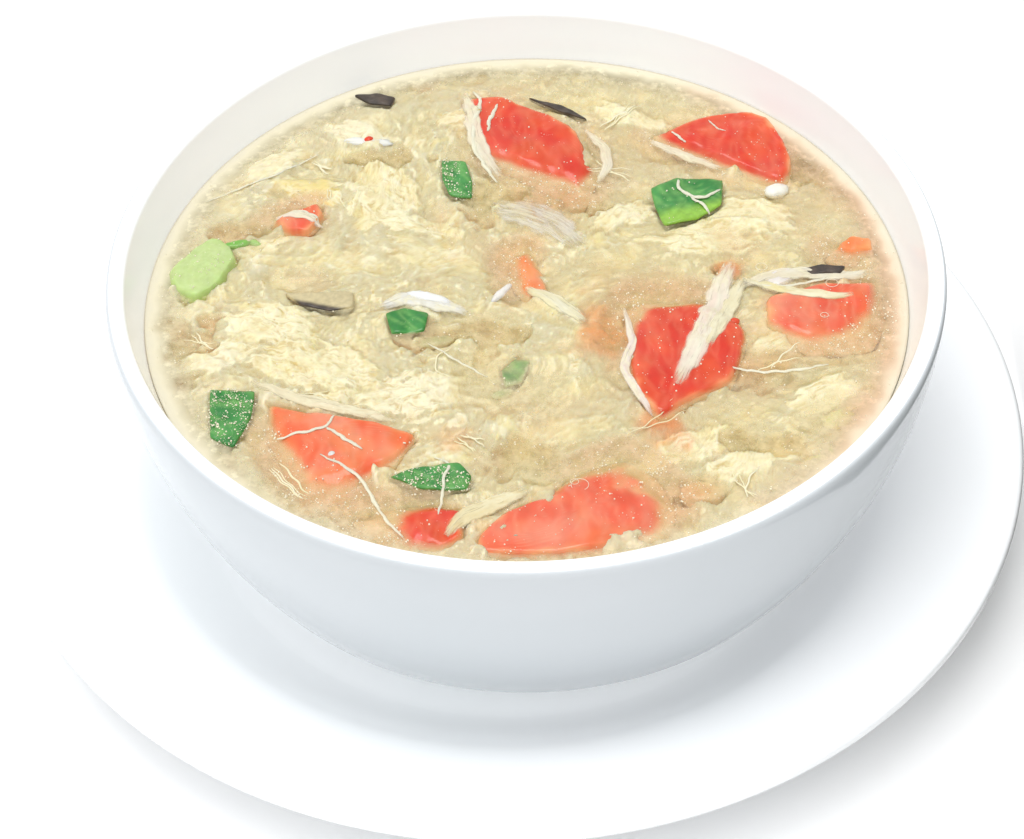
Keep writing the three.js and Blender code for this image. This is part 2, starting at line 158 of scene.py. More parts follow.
def with_alpha(tints):
    """Colours of three values get a fourth, which is one."""
    return tints if tints.shape[1] == 4 else np.concatenate([tints, np.ones((len(tints), 1))], axis=1)


# Meshes from arrays of corners and faces
def make_piece(name, points, quads, tris, materials, tint=None, replaces=(), face_material=None,
               flow=None):
    mesh = bpy.data.meshes.new(name)
    quads = np.asarray(quads, int).reshape(-1, 4)
    tris = np.asarray(tris, int).reshape(-1, 3)
    corners = np.concatenate([quads.ravel(), tris.ravel()])
    counts = np.concatenate([np.full(len(quads), 4), np.full(len(tris), 3)])
    starts = np.concatenate([[0], np.cumsum(counts)[:-1]])
    mesh.vertices.add(len(points))
    mesh.vertices.foreach_set("co", (np.asarray(points) * MM).ravel())
    mesh.loops.add(len(corners))
    mesh.loops.foreach_set("vertex_index", corners.astype(np.int32))
    mesh.polygons.add(len(counts))
    mesh.polygons.foreach_set("loop_start", starts.astype(np.int32))
    mesh.polygons.foreach_set("loop_total", counts.astype(np.int32))
    mesh.polygons.foreach_set("use_smooth", np.ones(len(counts), bool))
    for material in materials:
        mesh.materials.append(material)
    if face_material is not None:
        mesh.polygons.foreach_set("material_index", np.asarray(face_material, np.int32))
    mesh.update(calc_edges=True)
    mesh.validate()
    if tint is not None:
        layer = mesh.color_attributes.new("tint", "FLOAT_COLOR", "POINT")
        layer.data.foreach_set("color", with_alpha(tint).ravel())
    if flow is not None:
        layer = mesh.attributes.new("flow", "FLOAT_VECTOR", "POINT")
        layer.data.foreach_set("vector", np.asarray(flow).ravel())
    item = bpy.data.objects.new(name, mesh)
    bpy.context.scene.collection.objects.link(item)
    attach(item, "root")
    if replaces:
        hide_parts(*replaces)
    return item


class Heap:
    """Many small shapes gathered into one mesh."""

    def __init__(self):
        self.points = []
        self.quads = []
        self.tris = []
        self.tints = []
        self.flows = []
        self.count = 0

    def put(self, points, quads, tris, tints, flow=(0, 0, 0)):
        tints = with_alpha(np.atleast_2d(tints))
        self.points.append(points)
        self.quads.append(np.asarray(quads, int).reshape(-1, 4) + self.count)
        self.tris.append(np.asarray(tris, int).reshape(-1, 3) + self.count)
        self.tints.append(np.broadcast_to(tints, (len(points), 4)))
        self.flows.append(np.broadcast_to(flow, (len(points), 3)))
        self.count += len(points)

    def make(self, name, material):
        points = np.concatenate(self.points)
        quads = np.concatenate(self.quads)
        tris = np.concatenate(self.tris)
        return make_piece(name, points, quads, tris, [material], np.concatenate(self.tints),
                          flow=np.concatenate(self.flows))


def ring_faces(ring_count, sides):
    """Quads between rings of points that are stored one ring after another."""
    steps = np.arange(sides)
    after = (steps + 1) % sides
    quads = []
    for ring in range(ring_count - 1):
        low = ring * sides
        high = low + sides
        quads.append(np.stack([low + steps, low + after, high + after, high + steps], axis=1))
    return np.concatenate(quads)


def closed_rings(rings, start, end):
    """Points, quads and tris of rings set one after another and closed by a fan to a point at each end."""
    sides = len(rings[0])
    points = np.concatenate([*rings, [start, end]])
    first = len(points) - 2
    last = first - sides
    steps = np.arange(sides)
    after = (steps + 1) % sides
    start_fan = np.stack([np.full(sides, first), after, steps], axis=1)
    end_fan = np.stack([np.full(sides, first + 1), last + steps, last + after], axis=1)
    return points, ring_faces(len(rings), sides), np.concatenate([start_fan, end_fan])


def turned_piece(profile, middle_x):
    """A turned body whose profile starts and ends on the axis."""
    angles = 2 * math.pi * np.arange(TURNED_SIDES) / TURNED_SIDES
    rings = []
    for radius, height in profile[1:-1]:
        x = middle_x + radius * np.cos(angles)
        rings.append(np.column_stack([x, radius * np.sin(angles), np.full(TURNED_SIDES, height)]))
    return closed_rings(rings, [middle_x, 0, profile[0][1]], [middle_x, 0, profile[-1][1]])


def rounded(profile, passes=3):
    """A profile with its corners cut off again and again, which rounds them."""
    points = [np.array(p, float) for p in profile]
    for _ in range(passes):
        cut = [points[0]]
        for a, b in zip(points[:-1], points[1:]):
            cut.append(a * 0.75 + b * 0.25)
            cut.append(a * 0.25 + b * 0.75)
        cut.append(points[-1])
        points = cut
    return points


# Materials
def add(tree, kind, settings=None, links=None):
    """A node with its settings, its input values by name or number, and links from other sockets."""
    node = tree.nodes.new(kind)
    for key, value in (settings or {}).items():
        if hasattr(node, str(key)) and not isinstance(key, int):
            setattr(node, key, value)
        else:
            node.inputs[key].default_value = value
    for key, source in (links or {}).items():
        tree.links.new(source, node.inputs[key])
    return node


def new_material(name):
    material = bpy.data.materials.new(name)
    material.use_nodes = True
    tree = material.node_tree
    tree.nodes.clear()
    return material, tree


def ramp_colours(node, stops):
    ramp = node.color_ramp
    while len(ramp.elements) > 1:
        ramp.elements.remove(ramp.elements[-1])
    ramp.elements[0].position = stops[0][0]
    ramp.elements[0].color = linear(stops[0][1])
    for position, colour in stops[1:]:
        ramp.elements.new(position).color = linear(colour)


def place_mm(tree, per_mm=1.0):
    """The point on the surface in the row's frame, scaled so that one unit is 1 / per_mm millimetres."""
    position = add(tree, "ShaderNodeNewGeometry").outputs["Position"]
    settings = {"operation": "SCALE", "Scale": per_mm / MM}
    return add(tree, "ShaderNodeVectorMath", settings, {0: position}).outputs[0]


def sunk(tree, colour, murky_below, haze):
    """The colour fades to that of cloudy broth with depth below the soup's level."""
    position = add(tree, "ShaderNodeNewGeometry").outputs["Position"]
    height = add(tree, "ShaderNodeSeparateXYZ", links={0: position}).outputs["Z"]
    patches = add(tree, "ShaderNodeTexNoise", {"Scale": 0.16, "Detail": 2.0}, {"Vector": place_mm(tree)})
    sway = add(tree, "ShaderNodeMath", {"operation": "MULTIPLY_ADD", 1: 1.2 * MM, 2: -0.6 * MM},
               {0: patches.outputs["Fac"]})
    lifted = add(tree, "ShaderNodeMath", {"operation": "ADD"}, {0: height, 1: sway.outputs[0]})
    depth = add(tree, "ShaderNodeMapRange", {
        "interpolation_type": "SMOOTHSTEP",
        "From Min": (LEVEL + 0.15) * MM,
        "From Max": (LEVEL - murky_below) * MM,
    }, {"Value": lifted.outputs[0]})
    broad = add(tree, "ShaderNodeTexNoise", {"Scale": 0.07, "Detail": 2.0}, {"Vector": place_mm(tree)})
    cloud = add(tree, "ShaderNodeValToRGB", links={0: broad.outputs["Fac"]})
    ramp_colours(cloud, [(0.36, haze[0]), (0.5, haze[1]), (0.64, haze[2])])
    mixed = add(tree, "ShaderNodeMix", {"data_type": "RGBA"},
                {"Factor": depth.outputs[0], "A": colour, "B": cloud.outputs[0]})
    return mixed.outputs["Result"]


def finish_material(tree, colour, settings, links=None):
    body = add(tree, "ShaderNodeBsdfPrincipled", settings, {"Base Color": colour, **(links or {})})
    add(tree, "ShaderNodeOutputMaterial", links={"Surface": body.outputs[0]})
    return body


def glaze_material(name, low, high):
    # White glaze on stoneware, dipped and fired: a hard, clear gloss over an even cool white
    material, tree = new_material(name)
    patches = add(tree, "ShaderNodeTexNoise", {"Scale": 0.02, "Detail": 1.0}, {"Vector": place_mm(tree)})
    shade = add(tree, "ShaderNodeValToRGB", links={0: patches.outputs["Fac"]})
    ramp_colours(shade, [(0.3, low), (0.7, high)])
    sag = add(tree, "ShaderNodeTexNoise", {"Scale": 0.045, "Detail": 2.0}, {"Vector": place_mm(tree)})
    settings = {"Strength": 0.25, "Distance": 0.4 * MM}
    bump = add(tree, "ShaderNodeBump", settings, {"Height": sag.outputs["Fac"]})
    finish_material(tree, shade.outputs[0], {"Roughness": 0.09, "IOR": 1.5}, {"Normal": bump.outputs[0]})
    return material


def line_network(tree, vector, stretch, seed, width, strength):
    """Thin wandering lines in patches: where a warped noise passes through its middle value."""
    settings = {"operation": "MULTIPLY_ADD", 1: stretch, 2: (seed, seed, seed)}
    spot = add(tree, "ShaderNodeVectorMath", settings, {0: vector})
    settings = {"Scale": 1.0, "Detail": 2.0, "Distortion": 0.8}
    noise = add(tree, "ShaderNodeTexNoise", settings, {"Vector": spot.outputs[0]})
    off = add(tree, "ShaderNodeMath", {"operation": "SUBTRACT", 1: 0.5}, {0: noise.outputs["Fac"]})
    away = add(tree, "ShaderNodeMath", {"operation": "ABSOLUTE"}, {0: off.outputs[0]})
    settings = {"From Min": 0.0, "From Max": width, "To Min": strength, "To Max": 0.0}
    line = add(tree, "ShaderNodeMapRange", settings, {"Value": away.outputs[0]})
    area = add(tree, "ShaderNodeTexNoise", {"Scale": 0.12, "Detail": 3.0}, {"Vector": place_mm(tree)})
    settings = {"From Min": 0.36, "From Max": 0.56}
    some = add(tree, "ShaderNodeMapRange", settings, {"Value": area.outputs["Fac"]})
    both = {0: line.outputs[0], 1: some.outputs[0]}
    return add(tree, "ShaderNodeMath", {"operation": "MULTIPLY"}, both).outputs[0]


def tinted_material(name, roughness, coat, mottle, bump, scatter, radius, murky_below=2.6, haze=BROTH_HAZE,
                    fibres=0.0, see_through=False):
    """A wet food surface, shaded by its shape and by painted shade in its tint and, with fibres, in dark
    crease lines; mottle and bump are (size, strength) in mm.
    """
    material, tree = new_material(name)
    tint = add(tree, "ShaderNodeAttribute", {"attribute_name": "tint"})
    spot = {"Vector": place_mm(tree, 1 / mottle[0])}
    grain = add(tree, "ShaderNodeTexNoise", {"Scale": 1.0, "Detail": 4.0}, spot)
    settings = {"To Min": 1 - mottle[1], "To Max": 1 + mottle[1], "From Min": 0.3, "From Max": 0.7}
    light = add(tree, "ShaderNodeMapRange", settings, {"Value": grain.outputs["Fac"]})
    both = {0: tint.outputs["Color"], "Scale": light.outputs[0]}
    colour = add(tree, "ShaderNodeVectorMath", {"operation": "SCALE"}, both)
    spot = {"Vector": place_mm(tree, 1 / bump[0])}
    fine = add(tree, "ShaderNodeTexNoise", {"Scale": 1.0, "Detail": 3.0}, spot)
    settings = {"Strength": 0.6, "Distance": bump[1] * MM}
    uneven = add(tree, "ShaderNodeBump", settings, {"Height": fine.outputs["Fac"]})
    links = {"Normal": uneven.outputs[0]}
    if fibres:
        along = add(tree, "ShaderNodeAttribute", {"attribute_name": "flow"}).outputs["Vector"]
        settings = {"Scale": 1.0, "Detail": 3.0, "Roughness": 0.6}
        threads = add(tree, "ShaderNodeTexNoise", settings, {"Vector": along}).outputs["Fac"]
        settings = {"To Min": 1 - fibres, "To Max": 1 + 0.6 * fibres, "From Min": 0.32, "From Max": 0.66}
        pale = add(tree, "ShaderNodeMapRange", settings, {"Value": threads})
        both = {0: colour.outputs[0], "Scale": pale.outputs[0]}
        colour = add(tree, "ShaderNodeVectorMath", {"operation": "SCALE"}, both)
        wisps = line_network(tree, along, (1.2, 0.3, 1.0), 0.0, 0.13, 0.85)
        # Dark lines painted along the fibres as the shade of creases, also sunk a little by the bump; the
        # wisps are pale raised threads
        crease_shadows = line_network(tree, along, (1.5, 0.3, 1.0), 40.0, 0.09, 0.2 if see_through else 0.55)
        for share, tone in ((crease_shadows, "#C8A65C"), (wisps, "#FAF3D0")):
            settings = {"data_type": "RGBA", "B": linear(tone)}
            mixed = add(tree, "ShaderNodeMix", settings, {"Factor": share, "A": colour.outputs[0]})
            settings = {"operation": "SCALE", "Scale": 1.0}
            colour = add(tree, "ShaderNodeVectorMath", settings, {0: mixed.outputs["Result"]})
        raised = add(tree, "ShaderNodeMath", {"operation": "SUBTRACT"}, {0: wisps, 1: crease_shadows}).outputs[0]
        for height, distance in ((raised, 0.2), (threads, 0.08)):
            settings = {"Strength": 0.5, "Distance": distance * MM}
            uneven = add(tree, "ShaderNodeBump", settings, {"Height": height, "Normal": uneven.outputs[0]})
        links = {"Normal": uneven.outputs[0]}
        if see_through:
            settings = {"From Min": 0.34, "From Max": 0.6, "To Min": -0.7, "To Max": 0.3}
            torn = add(tree, "ShaderNodeMapRange", settings, {"Value": threads})
            settings = {"operation": "MULTIPLY_ADD", 1: 1.7, "use_clamp": True}
            solid = add(tree, "ShaderNodeMath", settings, {0: tint.outputs["Alpha"], 2: torn.outputs[0]})
            settings = {"operation": "MULTIPLY", "use_clamp": True}
            faded = add(tree, "ShaderNodeMath", settings, {0: solid.outputs[0], 1: tint.outputs["Alpha"]})
            links["Alpha"] = faded.outputs[0]
    finish_material(tree, sunk(tree, colour.outputs[0], murky_below, haze), {
        "Roughness": roughness,
        "IOR": 1.4,
        "Coat Weight": coat,
        "Coat Roughness": 0.12,
        "Subsurface Weight": scatter,
        "Subsurface Radius": tuple(r * MM for r in radius),
        "Subsurface Scale": 1.0,
    }, links)
    return material


def broth_film_material():
    # Stock thickened by stirred egg: a smooth glossy surface over a liquid that is clear in places and milky
    # where shreds of egg hang just under it
    material, tree = new_material("cloudy_broth_surface")
    tint = add(tree, "ShaderNodeAttribute", {"attribute_name": "tint"})
    depth = tint.outputs["Alpha"]
    settings = {"Scale": 0.35, "Detail": 5.0, "Roughness": 0.65}
    patches = add(tree, "ShaderNodeTexNoise", settings, {"Vector": place_mm(tree)})
    settings = {"From Min": 0.35, "From Max": 0.68, "To Min": 0.45, "To Max": 1.45}
    sway = add(tree, "ShaderNodeMapRange", settings, {"Value": patches.outputs["Fac"]})
    settings = {"operation": "MULTIPLY", "use_clamp": True}
    cloud = add(tree, "ShaderNodeMath", settings, {0: depth, 1: sway.outputs[0]})
    thick = add(tree, "ShaderNodeMapRange", {"From Min": 0.4, "From Max": 0.85}, {"Value": depth})
    cloud = add(tree, "ShaderNodeMath", {"operation": "MAXIMUM"}, {0: cloud.outputs[0], 1: thick.outputs[0]})
    ripple = add(tree, "ShaderNodeTexNoise", {"Scale": 0.3, "Detail": 2.0}, {"Vector": place_mm(tree)})
    settings = {"Strength": 0.3, "Distance": 0.25 * MM}
    bump = add(tree, "ShaderNodeBump", settings, {"Height": ripple.outputs["Fac"]})
    links = {"Normal": bump.outputs[0], "Alpha": cloud.outputs[0]}
    finish_material(tree, tint.outputs["Color"], {"Roughness": 0.08, "IOR": 1.36}, links)
    return material


def broth_body_material():
    # The same broth in depth, where it is cloudy all through
    material, tree = new_material("cloudy_broth_depth")
    patches = add(tree, "ShaderNodeTexNoise", {"Scale": 0.1, "Detail": 2.0}, {"Vector": place_mm(tree)})
    shade = add(tree, "ShaderNodeValToRGB", links={0: patches.outputs["Fac"]})
    ramp_colours(shade, [(0.35, BROTH_DEEP), (0.7, BROTH_STRAW)])
    finish_material(tree, shade.outputs[0], {"Roughness": 0.3, "IOR": 1.36})
    return material


GLAZE = glaze_material("fired_white_glaze", "#F8FAFB", "#FAFBFC")
# The bowl's outside: a greyer copy of the same white glaze, painted shade for the outer wall
OUTER_GLAZE_PAINTED_SHADE = glaze_material("white_glaze_painted_shade", "#D3D8DB", "#D6DADD")
# Egg poured in a thin stream and set in hot broth: soft, moist, pale yellow, with light glowing through
EGG = tinted_material("set_egg_curd", 0.4, 0.1, (1.3, 0.035), (2.4, 0.04), 0.35, (2.0, 1.5, 0.8),
                      fibres=0.06)
# The same egg in thin torn veils: streaked, frayed and half see-through at the edges
EGG_VEIL = tinted_material("torn_egg_veil", 0.32, 0.2, (1.3, 0.03), (1.6, 0.04), 0.0, (1, 1, 1), fibres=0.04,
                           see_through=True)
# Egg white set in threads: whiter, smoother and more see-through than the yolk-rich curd
EGG_THREAD = tinted_material("set_egg_white", 0.3, 0.3, (2.0, 0.04), (0.8, 0.04), 0.4, (1.8, 1.6, 1.3))
# Simmered tomato, cut with a knife: soft wet flesh that glows red, with faint streaks
TOMATO = tinted_material("simmered_tomato", 0.22, 0.3, (4.0, 0.07), (2.4, 0.1), 0.25, (2.4, 0.7, 0.4), 1.5,
                         ("#E6C08A", "#EACB96", "#EED3A2"))
# Blanched leaf: thin, waxy and wet, darker between its veins
LEAF = tinted_material("blanched_leaf", 0.28, 0.4, (1.3, 0.13), (0.7, 0.12), 0.1, (0.4, 0.9, 0.3))
# Pale stalk, sliced across: firm, wet and a little glassy
STALK = tinted_material("sliced_stalk", 0.25, 0.4, (2.0, 0.06), (1.2, 0.08), 0.4, (0.9, 1.3, 0.5))
# Soaked dried mushroom: dark leathery skin over beige flesh
MUSHROOM = tinted_material("soaked_mushroom", 0.35, 0.3, (1.1, 0.13), (0.8, 0.2), 0.05, (0.5, 0.4, 0.3))
# Foam of stirred egg and broth: tiny pale bubbles that catch the light
FOAM = tinted_material("fine_foam", 0.2, 0.6, (1.2, 0.06), (0.9, 0.02), 0.0, (1, 1, 1))
BROTH_FILM = broth_film_material()
BROTH_BODY = broth_body_material()


# Outlines of what floats, as corners from the bowl's axis
def outline_through(corners, count, tension=0.2):
    """A closed outline through the corners, anticlockwise, with evenly spaced points."""
    knots = np.array(corners, float)
    fine = []
    for i in range(len(knots)):
        before, a, b, after = (knots[(i + step) % len(knots)] for step in (-1, 0, 1, 2))
        leave = tension * (b - before)
        arrive = tension * (after - a)
        for t in np.linspace(0, 1, 16, endpoint=False):
            curve = (2 * t ** 3 - 3 * t ** 2 + 1) * a + (t ** 3 - 2 * t ** 2 + t) * leave
            fine.append(curve + (3 * t ** 2 - 2 * t ** 3) * b + (t ** 3 - t ** 2) * arrive)
    fine = np.array(fine)
    closed = np.concatenate([fine, fine[:1]])
    lengths = np.concatenate([[0], np.cumsum(np.linalg.norm(np.diff(closed, axis=0), axis=1))])
    along = np.linspace(0, lengths[-1], count, endpoint=False)
    outline = np.stack([np.interp(along, lengths, closed[:, axis]) for axis in (0, 1)], axis=1)
    x, y = outline.T
    area = np.sum(x * np.roll(y, -1) - np.roll(x, -1) * y)
    return outline if area > 0 else outline[::-1]


def inside_by(outline, x, y):
    """How far each place lies inside the outline, negative outside, in millimetres."""
    nearest = np.full(x.shape, 1e9)
    within = np.zeros(x.shape, bool)
    for a, b in zip(outline, np.roll(outline, -1, axis=0)):
        edge = b - a
        t = np.clip(((x - a[0]) * edge[0] + (y - a[1]) * edge[1]) / (edge @ edge), 0, 1)
        gap = np.hypot(x - a[0] - t * edge[0], y - a[1] - t * edge[1])
        nearest = np.minimum(nearest, gap)
        crosses = (a[1] > y) != (b[1] > y)
        slope = (x < a[0] + (y - a[1]) * edge[0] / (edge[1] if edge[1] else 1e-9))
        within ^= crosses & slope
    return np.where(within, nearest, -nearest)


class Floater:
    """A chunk that floats at the surface: where it lies, how high its top is and how it is shaded."""

    def __init__(self, corners, rise, depth, dome, taper, dip=(0, 0, 0), flesh="red", seed=0, count=72,
                 softness=5.0):
        self.outline = outline_through(corners, count)
        self.middle = self.outline.mean(axis=0)
        self.reach = np.abs(self.outline - self.middle).max()
        self.rise = rise
        self.depth = depth
        self.dome = dome
        self.taper = taper
        self.dip = dip
        self.flesh = flesh
        self.seed = seed
        self.softness = softness
        self.edge = min(1.0, depth * 0.2)

    def along(self, x, y):
        """-1 on its dry side and 1 on the side that dips under the broth."""
        turn = self.dip[0]
        return ((x - self.middle[0]) * math.cos(turn) + (y - self.middle[1]) * math.sin(turn)) / self.reach

    def top(self, x, y):
        """Height of its upper face, which dips under the broth towards one side."""
        _, start, drop = self.dip
        away = np.hypot(x - self.middle[0], y - self.middle[1]) / self.reach
        relief = 0.34 * layered(x / 7, y / 7, self.seed + 40, 3)
        relief = relief + 0.1 * creases(x / 3, y / 7, self.seed + 50)
        uneven = 1 + 0.5 * layered(x / 4, y / 4, self.seed + 45, 2)
        sunk_side = drop * np.clip((self.along(x, y) - start) / 0.6, 0, 1) * uneven
        soft = 0.9 + self.softness * eased(self.along(x, y), start - 0.7, start + 0.4)
        share = np.clip((inside_by(self.outline, x, y) + 0.7 * uneven - 0.7) / soft, 0, 1)
        rounding = (self.rise + 2.1) * (1 - share) ** 1.7
        return LEVEL + self.rise + self.dome * (1 - away ** 2) + relief - sunk_side - rounding

    def shade_side(self, x, y):
        """0 on its dry side and 1 on the side that dips under the broth."""
        start = self.dip[1]
        return eased(self.along(x, y), start - 0.2, start + 0.4)


TOMATOES = {
    "tomato_back": Floater(
        [(-12.6, 64), (-6, 65), (4.6, 58.8), (12, 52), (16.2, 38.7), (13, 30), (3, 36), (-8, 43.8),
         (-11.4, 53)],
        rise=0.6, depth=15, dome=0.4, taper=0.55, dip=(-1.9, 0.35, 2.6), flesh="red", seed=1),
    "tomato_back_right": Floater(
        [(28.2, 51.2), (39, 55.6), (49, 57), (55, 54.5), (58.7, 40), (55.8, 32), (44, 38.5), (31.1, 46.6)],
        rise=0.6, depth=13, dome=0.4, taper=0.55, dip=(-2.3, 0.5, 1.8), flesh="red", seed=2),
    "tomato_middle": Floater(
        [(21.1, -1), (36.5, -1.2), (44.8, -12), (40.5, -27), (32.3, -31.8), (26, -36.2), (21.8, -31),
         (19.4, -20)],
        rise=0.5, depth=17, dome=0.4, taper=0.5, dip=(2.1, 0.3, 1.7), flesh="red", seed=3),
    "tomato_right": Floater(
        [(49.3, -2.5), (60.7, 1.3), (72.6, 2.6), (73.2, -8), (69.6, -15.8), (56, -17), (49, -10)],
        rise=0.3, depth=12, dome=0.3, taper=0.5, dip=(-0.9, 0.1, 1.3), flesh="mixed", seed=4),
    "tomato_left": Floater(
        [(-54.1, 25.2), (-50, 28.2), (-43.7, 30), (-42, 25.5), (-45.4, 20), (-50.6, 20.2)],
        rise=0.7, depth=7, dome=0.4, taper=0.6, dip=(2.2, 0.2, 1.2), flesh="mixed", seed=5, softness=1.2),
    "tomato_front_left": Floater(
        [(-52.2, -28.4), (-43, -31.4), (-31, -35.2), (-22, -39.2), (-26, -47), (-36, -54.6), (-43.9, -55.2),
         (-47.6, -46), (-51.4, -38)],
        rise=0.5, depth=15, dome=0.4, taper=0.55, dip=(-2.3, 0.1, 1.5), flesh="pale", seed=6),
    "tomato_front": Floater(
        [(-34, -59.2), (-27, -56.3), (-18.8, -55.8), (-12.2, -58.6), (-12.8, -66), (-17.3, -69.4),
         (-28.6, -66.4)],
        rise=0.25, depth=12, dome=0.3, taper=0.55, dip=(2.6, -0.2, 1.2), flesh="red", seed=7),
    "tomato_front_right": Floater(
        [(-10.4, -66), (-5.8, -60.8), (3, -55), (10, -48.4), (18.5, -44.4), (24.3, -49.3), (27.6, -58),
         (26, -65.6), (14, -70.4), (1.6, -71.4), (-9.6, -70.6)],
        rise=0.4, depth=16, dome=0.4, taper=0.55, dip=(0.9, 0.2, 1.5), flesh="salmon", seed=8),
    "tomato_far_right": Floater(
        [(63, 11.6), (68, 15.8), (72.6, 14.6), (73, 10.6), (67.8, 8.8)],
        rise=0.4, depth=6, dome=0.2, taper=0.6, dip=(-2.4, 0.1, 1.2), flesh="orange", seed=9, softness=1.6),
    "tomato_scrap": Floater(
        [(-3.2, 13.5), (1.1, 15), (3.6, 8.2), (4.8, 1), (0, -1.4), (-3, 5.8)],
        rise=0.1, depth=6, dome=0.2, taper=0.6, dip=(2.8, -0.2, 0.8), flesh="orange", seed=10, softness=2.0),
}
STALK_PIECE = Floater(
    [(-75, 9), (-70.4, 15.6), (-66, 19.3), (-61.5, 16.6), (-60, 12), (-62.8, 4.9), (-67.6, 0.2),
     (-72.9, 2.6)],
    rise=0.9, depth=6.5, dome=0.5, taper=0.7, flesh="stalk", seed=11, dip=(2.9, 0.5, 1.0), softness=1.4)
LEAVES = {
    "leaf_back_left": [(-17.6, 43), (-12.4, 41.6), (-11, 35), (-11.1, 29.8), (-15.8, 31.2), (-17.4, 37)],
    "leaf_back_right": [(27.4, 31.7), (33.1, 34.6), (42.8, 34), (42, 26), (36.5, 21.6), (29.7, 19.9),
                        (28, 25.9)],
    "leaf_middle": [(-28.6, -5.4), (-24.8, -3.7), (-20, -5.3), (-20.8, -10.4), (-27.3, -10.9)],
    "leaf_small": [(-5.2, -21.2), (-2.4, -17.9), (0.6, -18.6), (-1.2, -24.6), (-4.5, -25.8)],
    "leaf_left": [(-63, -26), (-54.2, -27), (-54.6, -34), (-57.4, -41.7), (-62.1, -39)],
    "leaf_front": [(-26.6, -50.4), (-22.3, -48.4), (-13.8, -47.4), (-11.2, -51), (-12.2, -54.3),
                   (-20.5, -53.9)],
}
MUSHROOMS = {
    "mushroom_back_left": [(-37.2, 65.8), (-32.9, 66.7), (-28.2, 64.8), (-29.2, 62.2), (-33.9, 63)],
    "mushroom_back": [(1.8, 63.6), (8.6, 61), (14.4, 55.8), (9.6, 58)],
    "mushroom_left": [(-49.5, 1.6), (-43, 1.4), (-35.6, 1.5), (-35.4, -2.8), (-40.2, -3.8), (-46, -1.9)],
    "mushroom_right": [(57.3, 5.4), (61.3, 6.6), (66.2, 5.8), (65, 3.7), (59, 3.8)],
}
# How far the top of a leaf stands out of the broth, in millimetres
THIN_RISE = {"leaf_small": -0.8, "leaf_middle": 0.35, "leaf_left": 0.4, "leaf_front": 0.35}
# Where clear broth shows between the egg: x, y, half width, half length
POOLS = [
    (-70, -9, 6, 8), (-6, -12, 7, 5), (41, -41.5, 4, 3), (49, -44, 4, 3.5), (-9, 29, 4, 6),
    (10, 28, 8, 4), (-3, 33, 5, 5), (-62, 22, 6, 3), (62, 40, 5, 7), (-2, -45, 7, 5), (-70, -26, 4, 6),
    (42.5, 6.4, 3.5, 3), (32.7, -54.6, 5, 4), (-30, 45, 9, 2.5), (-20, -12, 5, 5), (46, -24, 6, 4),
]
# Where the egg hangs below the surface: x, y, half width, half length, depth
MURKY = [
    (-4, -26, 13, 10, 1.1), (0, -47, 14, 7, 1.3), (5, 22, 9, 6, 1.1), (48, -23, 10, 6, 1.0),
    (-46, 6, 9, 4, 1.1), (60, -36, 8, 6, 1.2), (-64, -44, 7, 8, 1.2),
]
# Where tomato under the surface shines through: x, y, half length, half width, turn, strength, colour
GLOWS = [
    (15.4, -12, 13, 6, -1.17, 0.85, "#EE9048"), (26.5, -39.5, 8, 5, -0.9, 0.85, "#EE8C48"),
    (42.5, 6.4, 5, 4, 0.2, 0.8, "#EC8440"), (4, 29.3, 10, 6, -0.4, 0.4, "#E89070"),
    (-14, -40, 6, 4, 0.5, 0.4, "#EE9A60"), (60, 42, 9, 8, -0.9, 0.5, "#EC9A80"),
    (62, -6, 16, 13, 0.2, 0.4, "#EC9A68"), (-40, -50, 14, 8, -0.5, 0.35, "#EE9A78"),
    (14, 45, 26, 12, -0.1, 0.3, "#D9AE84"), (24, -3, 16, 13, 0, 0.35, "#E2A070"),
    (60, 30, 11, 12, 0, 0.3, "#DDAC84"), (46, -22, 9, 5, 0.3, 0.4, "#EA9A5A"),
    (22, -60, 14, 8, 0.3, 0.3, "#EE9A68"), (-2, 12, 7, 5, 1.2, 0.4, "#EC9A60"),
]


# The soup's surface as a square of values, read in between its points
GRID_STEP = 0.25
GRID_HALF = 80.0
AXIS = np.arange(-GRID_HALF, GRID_HALF + GRID_STEP / 2, GRID_STEP)
ACROSS, ALONG = np.meshgrid(AXIS, AXIS)


def read(field, x, y):
    column = np.clip((np.asarray(x) + GRID_HALF) / GRID_STEP, 0, len(AXIS) - 1.001)
    row = np.clip((np.asarray(y) + GRID_HALF) / GRID_STEP, 0, len(AXIS) - 1.001)
    c = column.astype(int)
    r = row.astype(int)
    right = column - c
    up = row - r
    if field.ndim == 3:
        right = right[..., None]
        up = up[..., None]
    low = field[r, c] * (1 - right) + field[r, c + 1] * right
    high = field[r + 1, c] * (1 - right) + field[r + 1, c + 1] * right
    return low * (1 - up) + high * up


def window(x, y, reach):
    """The part of the square that lies within reach of a place."""
    limits = [(middle + side * reach + GRID_HALF) / GRID_STEP for middle in (y, x) for side in (-1, 1)]
    limits = [min(max(int(limit), 0), len(AXIS)) for limit in limits]
    return slice(limits[0], limits[1]), slice(limits[2], limits[3])


def inside_map(outline, margin=8.0):
    """How far each place of the square lies inside an outline, counted only near it."""
    middle = outline.mean(axis=0)
    part = window(middle[0], middle[1], np.abs(outline - middle).max() + margin)
    field = np.full(ACROSS.shape, -margin)
    field[part] = np.maximum(inside_by(outline, ACROSS[part], ALONG[part]), -margin)
    return field


def blurred(field, reach):
    steps = int(reach / GRID_STEP)
    weights = np.hanning(2 * steps + 3)[1:-1]
    weights /= weights.sum()
    for axis in (0, 1):
        padded = np.pad(field, [(steps, steps) if a == axis else (0, 0) for a in (0, 1)], mode="edge")
        field = sum(w * np.take(padded, np.arange(i, i + len(AXIS)), axis) for i, w in enumerate(weights))
    return field


